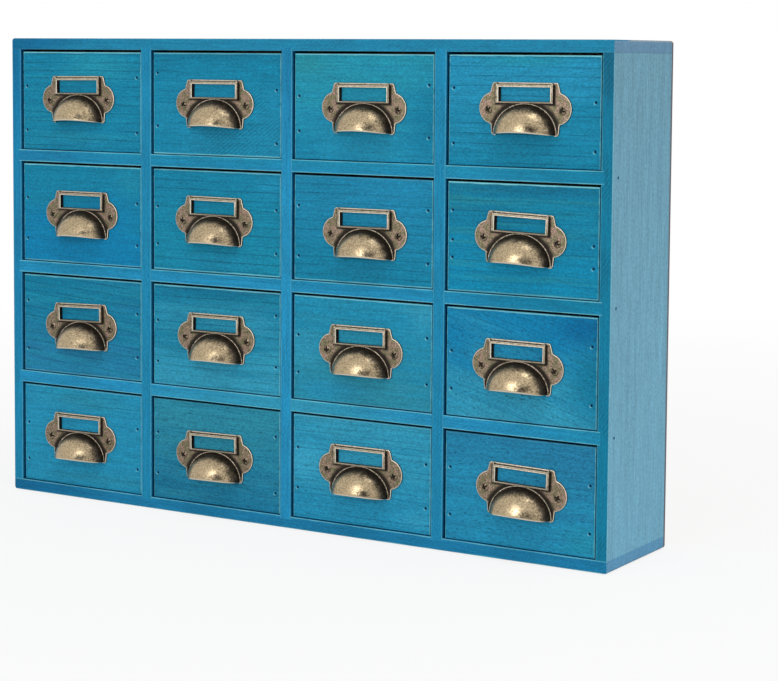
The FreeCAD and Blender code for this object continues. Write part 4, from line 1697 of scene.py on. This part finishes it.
@dataclass(frozen=True)
class Case:
    """The nailed case with its lattice of dividers and shelves."""

    sizes: CaseSizes

    BOARDS: ClassVar[dict[str, tuple[Grain, Staining]]] = {
        "top_board": (Grain.LEVEL, Staining(Stain.TOP_RAIL, Stain.TOP_RAIL, Figure.EDGE, (
            Patch(0.0, 0.5, 90.0, 30.0, Stain.DEEP_FRAME, 0.9),))),
        "bottom_board": (Grain.LEVEL, Staining(Stain.FOOT_RAIL, Stain.FOOT_RAIL, Figure.EDGE, (
            Patch(0.0, 0.5, 110.0, 30.0, Stain.DEEP_FRAME, 0.9),))),
        "left_side": (Grain.UPRIGHT, Staining(Stain.LEFT_RAIL, Stain.FRAME_BLUE, Figure.EDGE, (
            Patch(0.5, 1.0, 30.0, 70.0, Stain.DEEP_FRAME, 0.7),))),
        "right_side": (Grain.UPRIGHT, Staining(Stain.DEEP_TEAL, Stain.DEEP_TEAL, Figure.EDGE_SAWN, (
            Patch(0.5, 1.0, 30.0, 90.0, Stain.DARK_TEAL, 0.9),))),
        "divider_1": (Grain.UPRIGHT, Staining(Stain.FRAME_BLUE, Stain.FRAME_BLUE, Figure.EDGE)),
        "divider_2": (Grain.UPRIGHT, Staining(Stain.FRAME_PALE, Stain.FRAME_PALE, Figure.EDGE, (
            Patch(0.5, 1.0, 30.0, 90.0, Stain.FOOT_RAIL, 0.9),))),
        "divider_3": (Grain.UPRIGHT, Staining(Stain.FRAME_BLUE, Stain.FRAME_BLUE, Figure.EDGE)),
        "shelf_1": (Grain.LEVEL, Staining(Stain.MID_TEAL, Stain.FRAME_BLUE, Figure.EDGE, (
            Patch(0.0, 0.5, 130.0, 30.0, Stain.FOOT_RAIL, 0.9),
            Patch(1.0, 0.5, 130.0, 30.0, Stain.TEAL, 0.9)))),
        "shelf_2": (Grain.LEVEL, Staining(Stain.FRAME_BLUE, Stain.FRAME_PALE, Figure.EDGE, (
            Patch(1.0, 0.5, 170.0, 30.0, Stain.DEEP_TEAL, 0.95),))),
        "shelf_3": (Grain.LEVEL, Staining(Stain.FRAME_PALE, Stain.FRAME_PALE, Figure.EDGE, (
            Patch(0.5, 0.5, 170.0, 30.0, Stain.PALE_TEAL, 0.9),
            Patch(1.0, 0.5, 120.0, 30.0, Stain.MID_TEAL, 0.9)))),
    }

    def side_brads(self, node: str) -> tuple[Place, ...]:
        """Finds the brads whose heads show in the outer face of a side.

        Args:
            node: The side's node.

        Returns:
            The places of their heads, in millimetres.
        """
        shell = self.sizes.shell
        outer = shell.low.x if node == "left_side" else shell.high.x
        return tuple((outer, brad.middle.y / MM, brad.middle.z / MM)
                     for brad in solids_of(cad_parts["case_brads"])
                     if min(abs(brad.low.x / MM - outer), abs(brad.high.x / MM - outer)) < 0.5)

    def board_finish(self, node: str, seed: float) -> StainedPine:
        """Chooses the finish of one board.

        Args:
            node: The board's node.
            seed: Which stretch of timber it was cut from.

        Returns:
            The finish.
        """
        grain, staining = self.BOARDS[node]
        front = self.sizes.shell.low.y
        return StainedPine(
            name=f"stained_pine_{node}",
            board=Board.of_node(node),
            pattern=staining.pattern(grain, seed),
            staining=staining,
            gap_shade_from=front + self.sizes.lip,
            bare_from=front + self.sizes.stained_depth,
            shell=self.sizes.shell,
            brads=self.side_brads(node) if node.endswith("_side") else (),
            gap_shade=Stain.GAP_WALL,
            rubbed_share=0.10 if node == "top_board" else 0.55 if grain is Grain.LEVEL else 0.22,
            mottle_share=0.15,
        )

    def dress_boards(self) -> None:
        """Stains every board of the case."""
        for index, node in enumerate(self.BOARDS):
            dress(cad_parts[node], self.board_finish(node, 3.1 + 1.7 * index).material())
            LOG.info("case: stained %s", node)

    def dress_back(self) -> None:
        """Finishes the plywood back panel."""
        pattern = WoodPattern(Grain.UPRIGHT, Figure.QUIET.value, 8.4)
        finish = BackPly("back_plywood", Board.of_node("back_panel"), pattern)
        dress(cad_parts["back_panel"], finish.material())
        LOG.info("case: finished back_panel")

    def build(self, steel: Material) -> None:
        """Dresses the whole case, and gives its brads their steel."""
        self.dress_boards()
        self.dress_back()
        dress(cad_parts["case_brads"], steel)
        LOG.info("case: finished case_brads")


# How the face of each drawer took the stain, by its row and its column.
FACES: dict[str, Staining] = {
    "drawer_r1c1": Staining(Stain.TEAL, Stain.TEAL, Figure.LINED, (
        Patch(0.62, 0.88, 55.0, 15.0, Stain.GREEN_TEAL, 0.95),
        Patch(0.50, 0.12, 60.0, 12.0, Stain.MID_TEAL, 0.5)), Stain.GREEN_TEAL, 0.4, foot_shade=0.5,
        crown=0.85),
    "drawer_r1c2": Staining(Stain.TEAL, Stain.MID_TEAL, Figure.SAWN, (
        Patch(0.50, 1.00, 90.0, 15.0, Stain.DARK_TEAL, 0.4),
        Patch(0.95, 0.45, 30.0, 32.0, Stain.MID_TEAL, 0.7),
        Patch(0.08, 0.12, 32.0, 18.0, Stain.TEAL, 0.9),
        Patch(0.10, 0.88, 32.0, 14.0, Stain.DARK_TEAL, 0.3)), crown=0.55, foot_rub_and_highlight=0.7),
    "drawer_r1c3": Staining(Stain.GREEN_TEAL, Stain.MID_TEAL, Figure.QUIET, (
        Patch(0.98, 0.35, 34.0, 46.0, Stain.DEEP_TEAL, 0.9),
        Patch(0.05, 0.15, 30.0, 24.0, Stain.TEAL, 0.7),
        Patch(0.10, 0.90, 34.0, 14.0, Stain.OLIVE_TEAL, 0.7)), crown=0.8),
    "drawer_r1c4": Staining(Stain.SKY_TEAL, Stain.TEAL, Figure.LINED, (
        Patch(0.50, 0.95, 50.0, 9.0, Stain.GREEN_TEAL, 0.8),), foot_shade=0.5, crown=1.0),
    "drawer_r2c1": Staining(Stain.TEAL, Stain.BLUE, Figure.QUIET, (
        Patch(0.92, 0.84, 24.0, 18.0, Stain.OLIVE_TEAL, 0.3),), crown=0.8, foot_rub_and_highlight=0.5),
    "drawer_r2c2": Staining(Stain.TEAL, Stain.SEA, Figure.LINED, (
        Patch(0.50, 0.10, 60.0, 12.0, Stain.MID_TEAL, 0.6),
        Patch(0.92, 0.88, 26.0, 18.0, Stain.MID_TEAL, 0.8),), crown=0.6, foot_rub_and_highlight=0.7),
    "drawer_r2c3": Staining(Stain.HAZE, Stain.TEAL, Figure.LINED, crown=0.2, foot_rub_and_highlight=0.6),
    "drawer_r2c4": Staining(Stain.DEEP_TEAL, Stain.CLEAR_BLUE, Figure.BANDED, (
        Patch(0.75, 0.75, 60.0, 8.0, Stain.SEA, 0.6),
        Patch(0.50, 1.00, 90.0, 14.0, Stain.DARK_TEAL, 0.7)), Stain.OLIVE_TEAL, 0.48, crown=1.0,
        foot_rub_and_highlight=0.5),
    "drawer_r3c1": Staining(Stain.DEEP_TEAL, Stain.SLATE, Figure.LINED, (
        Patch(0.45, 0.08, 70.0, 12.0, Stain.SKY_TEAL, 0.4),), Stain.GREEN_TEAL, 0.4, 3.0,
        foot_rub_and_highlight=0.3),
    "drawer_r3c2": Staining(Stain.DEEP_TEAL, Stain.PALE_TEAL, Figure.LINED, (
        Patch(0.96, 0.25, 40.0, 26.0, Stain.PALE_TEAL, 0.8),
        Patch(0.50, 1.00, 90.0, 18.0, Stain.DARK_TEAL, 0.5)), Stain.GREEN_TEAL, 0.3, crown=0.7,
        foot_rub_and_highlight=0.15),
    "drawer_r3c3": Staining(Stain.MID_TEAL, Stain.OLD_TEAL, Figure.QUIET, (
        Patch(0.95, 0.85, 25.0, 20.0, Stain.PALE_TEAL, 0.8),
        Patch(0.08, 0.50, 22.0, 20.0, Stain.PALE_TEAL, 0.6),
        Patch(0.25, 0.10, 50.0, 14.0, Stain.SKY_TEAL, 0.7)), crown=0.75, foot_rub_and_highlight=0.2),
    "drawer_r3c4": Staining(Stain.BLUE, Stain.PALE_TEAL, Figure.FLOWING, (
        Patch(0.95, 0.86, 42.0, 20.0, Stain.DARK_BLUE, 0.95),
        Patch(1.00, 0.40, 36.0, 44.0, Stain.DEEP_TEAL, 1.0),
        Patch(0.05, 0.70, 30.0, 30.0, Stain.BLUE, 0.7)), slant=16.0, crown=0.8, foot_rub_and_highlight=0.15),
    "drawer_r4c1": Staining(Stain.SKY_TEAL, Stain.SKY_TEAL, Figure.BANDED, (
        Patch(0.50, 0.88, 80.0, 9.0, Stain.OLD_TEAL, 0.6),
        Patch(0.60, 0.10, 90.0, 8.0, Stain.OLD_TEAL, 0.6),
        Patch(0.15, 0.70, 50.0, 7.0, Stain.SKY_TEAL, 0.7)), Stain.GREEN_TEAL, 0.3, foot_shade=0.1,
        crown=0.35),
    "drawer_r4c2": Staining(Stain.OLD_TEAL, Stain.MUTED, Figure.FLOWING, (
        Patch(0.50, 0.27, 75.0, 2.4, Stain.NIGHT, 0.5, slant=-10.0),
        Patch(0.15, 0.14, 30.0, 9.0, Stain.DARK_TEAL, 0.4, slant=-6.0)), foot_shade=0.35, crown=0.1),
    "drawer_r4c3": Staining(Stain.PALE_TEAL, Stain.SKY_TEAL, Figure.CLOSE, (
        Patch(0.08, 0.55, 32.0, 20.0, Stain.LIGHT_TEAL, 0.8),
        Patch(0.92, 0.12, 30.0, 12.0, Stain.LIGHT_TEAL, 0.5)), crown=0.35),
    "drawer_r4c4": Staining(Stain.SLATE, Stain.SKY_TEAL, Figure.PORED, (
        Patch(0.95, 0.12, 34.0, 14.0, Stain.GREEN_TEAL, 0.6),), foot_shade=0.1, crown=0.15),
}


@dataclass(frozen=True)
class Hardware:
    """What all the drawers share: the pull with its metal, the screws and the brads."""

    pull: Mesh
    bronze: Material
    screws: Fastener
    brads: Fastener

    @classmethod
    def make(cls, steel: Material) -> "Hardware":
        """Builds the shared shapes and metals once.

        Args:
            steel: The brads' metal.

        Returns:
            The hardware.
        """
        bronze = AntiqueBronze().material()
        return cls(PullShape().mesh(), bronze,
                   Fastener.make("screws", ScrewShape().mesh(), bronze, turned=True),
                   Fastener.make("brads", cls.brad_mesh(), steel, turned=False))

    @staticmethod
    def brad_mesh(radius: float = 0.75, length: float = 18.0) -> Mesh:
        """Builds a headless brad about the origin, along Y, with its ends a little crowned.

        Args:
            radius: Its radius in millimetres.
            length: Its length in millimetres.

        Returns:
            The mesh, in metres.
        """
        sheet = Sheet()
        rows = [sheet.row(standing(circle(radius * share, 16), length * reach), (0.0, 0.0, 0.0))
                for share, reach in ((0.55, 0.5), (1.0, 0.49), (1.0, -0.49), (0.55, -0.5))]
        sheet.join(rows)
        sheet.faces.append(tuple(rows[0]))
        sheet.faces.append(tuple(rows[-1]))
        return sheet.mesh("brad")

    def clear(self) -> None:
        """Removes the patterns that the fasteners were copied from."""
        for kind in (self.screws, self.brads):
            bpy.data.objects.remove(kind.pattern)


@dataclass(frozen=True)
class Drawer:
    """One drawer: its wooden box, its pull and its fasteners. All sizes are millimetres.

    Args:
        body: The drawer's body in the frame.
        number: Its place in the order, which picks its timber and its screws' turns.
        face: How its face took the stain.
        hardware: The pull, the screws and the brads.
        stained_lip: How far back the face's own tone reaches.
        stained_depth: How far over the front board's edges the brush reached.
        fade_depth: How ragged the end of the stain is there.
        eased_foot: How tall the band of painted shade along the face's eased lower edge is.
    """

    body: str
    number: int
    face: Staining
    hardware: Hardware
    stained_lip: float = 1.6
    stained_depth: float = 5.2
    fade_depth: float = 4.0
    eased_foot: float = 0.75

    def dress_box(self, brads: Sequence[Solid]) -> None:
        """Stains the drawer's face and leaves the rest of its box bare.

        Args:
            brads: The drawer's brads.
        """
        board = Board.of_node(self.body + "_box")
        front = board.low.y
        finish = StainedPine(
            name=f"stained_pine_{self.body}",
            board=board,
            pattern=self.face.pattern(Grain.LEVEL, float(self.number)),
            staining=self.face,
            gap_shade_from=front + self.stained_lip,
            bare_from=front + self.stained_depth,
            fade_depth=self.fade_depth,
            brads=tuple((brad.middle.x / MM, front, brad.middle.z / MM) for brad in brads
                        if brad.low.y / MM < front + 3),
            eased_foot=self.eased_foot,
        )
        dress(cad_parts[self.body + "_box"], finish.material())

    def pull_place(self, screws: Sequence[Solid]) -> Matrix:
        """Works out where the pull sits, from its two screws in the frame.

        Args:
            screws: The two screws.

        Returns:
            The matrix from the pull's own frame to the cabinet's, in metres.
        """
        left, right = sorted((screw.middle for screw in screws), key=lambda place: place.x)
        across = Vector((right.x - left.x, 0.0, right.z - left.z))
        tilt = math.atan2(across.z, across.x)
        foot = Matrix.Translation(Vector((0.0, 0.0, -PullShape().screw_lift * MM)))
        middle = Vector(((left.x + right.x) / 2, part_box(self.body + "_box")[0].y, (left.z + right.z) / 2))
        return Matrix.Translation(middle) @ Matrix.Rotation(-tilt, 4, "Y") @ foot

    def add_pull(self, screws: Sequence[Solid]) -> None:
        """Adds the pull in its place.

        Args:
            screws: The two screws that hold it.
        """
        mesh = self.hardware.pull.copy()
        mesh.name = self.body + "_cup_pull"
        mesh.transform(self.pull_place(screws))
        pull = linked_object(mesh.name, mesh)
        dress(pull, self.hardware.bronze)
        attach(pull, self.body)
        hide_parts(self.body + "_pull")

    def add_fasteners(self, screws: Sequence[Solid], brads: Sequence[Solid]) -> None:
        """Adds the pull's screws and the box's brads.

        Args:
            screws: The screws in the frame.
            brads: The brads in the frame.
        """
        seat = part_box(self.body + "_box")[0].y - PullShape().plate * MM
        seats = [Vector((screw.middle.x, seat, screw.middle.z)) for screw in screws]
        for kind, places in ((self.hardware.screws, seats),
                             (self.hardware.brads, [brad.middle for brad in brads])):
            piece = kind.scatter(f"{self.body}_{kind.name}", places, self.number)
            dress(piece, kind.metal)
            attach(piece, self.body)
            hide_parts(self.body + "_fasteners")

    def build(self) -> None:
        """Dresses the whole drawer."""
        head = ScrewShape().head_radius * MM
        solids = solids_of(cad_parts[self.body + "_fasteners"])
        screws = [solid for solid in solids if solid.width > head]
        brads = [solid for solid in solids if solid.width <= head]
        self.dress_box(brads)
        self.add_pull(screws)
        self.add_fasteners(screws, brads)
        LOG.info("%s: box, pull, %d screws and %d brads", self.body, len(screws), len(brads))


@dataclass(frozen=True)
class Lamp:
    """A soft rectangular lamp.

    Args:
        name: The lamp's name.
        place: Where it stands, in metres.
        aim: What it points at.
        size: Its width and height.
        power: Its power in watts.
    """

    name: str
    place: Place
    aim: Place
    size: Size
    power: float

    def add(self) -> None:
        """Adds the lamp to the scene."""
        lamp = bpy.data.lights.new(self.name, "AREA")
        lamp.shape = "RECTANGLE"
        lamp.size, lamp.size_y = self.size
        lamp.energy = self.power
        piece = linked_object(self.name, lamp)
        piece.location = self.place
        piece.rotation_euler = (Vector(self.aim) - Vector(self.place)).to_track_quat("-Z", "Y").to_euler()


@dataclass(frozen=True)
class Studio:
    """A white floor, soft lamps and the camera, in metres and degrees, with its lens in millimetres."""

    floor_half: float = 6.0
    floor_drop: float = 0.0006
    paper: str = "#E8E8E8"
    shadow_reach: Size = (0.45, 1.6)
    shadow_glow: float = 0.84
    camera_place: Place = (1.0004, -1.5239, 0.3972)
    camera_turn: Place = (85.523, -0.418, 31.505)
    lens: float = 98.685
    shift: float = -0.15
    ambient: float = 0.62
    lamps: tuple[Lamp, ...] = (
        Lamp("key", (-0.55, -2.65, 0.53), (0.0, 0.0, 0.2), (0.6, 1.4), 20.0),
        Lamp("overhead", (0.65, -0.55, 2.0), (0.0, 0.0, 0.2), (1.2, 0.6), 9.5),
        Lamp("right", (2.3, -0.3, 0.6), (0.3, 0.0, 0.2), (1.2, 1.2), 11.0),
    )

    def white_to_the_eye(self, tree: NodeTree) -> Link:
        """Makes the mask of rays that should see the background white.

        Args:
            tree: The floor's or the world's tree.

        Returns:
            1 for camera, glossy and transmission rays, and 0 for the rest.
        """
        path = add_node(tree, "ShaderNodeLightPath").outputs
        seen: Link = path["Is Camera Ray"]
        for ray in ("Is Glossy Ray", "Is Transmission Ray"):
            seen = add_node(tree, "ShaderNodeMath", {0: seen, 1: path[ray]}, operation="MAXIMUM")
        return seen

    def add_floor(self) -> None:
        """Adds a pale floor that keeps a soft shadow."""
        mesh = bpy.data.meshes.new("floor")
        corners = box_corners(self.floor_half, -self.floor_half, self.floor_half)
        mesh.from_pydata([(x, y, -self.floor_drop) for x, y in corners], [], [(0, 1, 2, 3)])
        floor = linked_object("floor", mesh)
        material, tree = new_material("white_paper_sweep")
        # Matt paper: it takes the shadow, and the eye sees it almost white.
        paper = add_node(tree, "ShaderNodeBsdfDiffuse", {"Color": linear(self.paper)})
        glow = add_node(tree, "ShaderNodeEmission", {"Color": WHITE, "Strength": 1.0})
        place = add_node(tree, "ShaderNodeTexCoord").outputs["Object"]
        reach = add_node(tree, "ShaderNodeVectorMath", {0: place}, operation="LENGTH").outputs["Value"]
        near, far = self.shadow_reach
        fade = add_node(tree, "ShaderNodeMapRange",
                        {"Value": reach, "From Min": near, "From Max": far,
                         "To Min": self.shadow_glow, "To Max": 1.0})
        share = add_node(tree, "ShaderNodeMath", {0: self.white_to_the_eye(tree), 1: fade},
                         operation="MULTIPLY")
        surface = add_node(tree, "ShaderNodeMixShader", {0: share, 1: paper, 2: glow})
        add_node(tree, "ShaderNodeOutputMaterial", {"Surface": surface})
        dress(floor, material)

    def add_world(self) -> None:
        """Adds an even pale surround."""
        world = bpy.data.worlds.new("studio")
        world.use_nodes = True
        tree = world.node_tree
        tree.nodes.clear()
        strength = add_node(tree, "ShaderNodeMapRange",
                            {"Value": self.white_to_the_eye(tree), "To Min": self.ambient, "To Max": 1.0})
        surround = add_node(tree, "ShaderNodeBackground", {"Color": WHITE, "Strength": strength})
        add_node(tree, "ShaderNodeOutputWorld", {"Surface": surround})
        bpy.context.scene.world = world

    def add_camera(self) -> None:
        """Adds the camera, a little above the middle of the case and well to its right."""
        camera = bpy.data.cameras.new("camera")
        camera.lens = self.lens
        camera.shift_y = self.shift
        piece = linked_object("camera", camera)
        piece.location = self.camera_place
        piece.rotation_euler = Euler([math.radians(angle) for angle in self.camera_turn])
        bpy.context.scene.camera = piece

    def build(self) -> None:
        """Sets the whole studio up."""
        self.add_floor()
        self.add_world()
        for lamp in self.lamps:
            lamp.add()
        self.add_camera()
        bpy.context.scene.view_settings.view_transform = "Standard"
        LOG.info("studio: floor, surround, %d lamps and camera", len(self.lamps))


def main() -> None:
    """Dresses the cabinet, piece by piece, and sets up the studio."""
    logging.basicConfig(level=logging.INFO, format="%(name)s: %(message)s")
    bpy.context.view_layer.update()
    shell = Board(Board.of_node("bottom_board").low, Board.of_node("top_board").high)
    steel = BradSteel().material()
    Case(CaseSizes(shell)).build(steel)
    hardware = Hardware.make(steel)
    for number, (body, face) in enumerate(FACES.items(), 1):
        Drawer(body, number, face, hardware).build()
    hardware.clear()
    Studio().build()


if __name__ == "__main__":
    main()
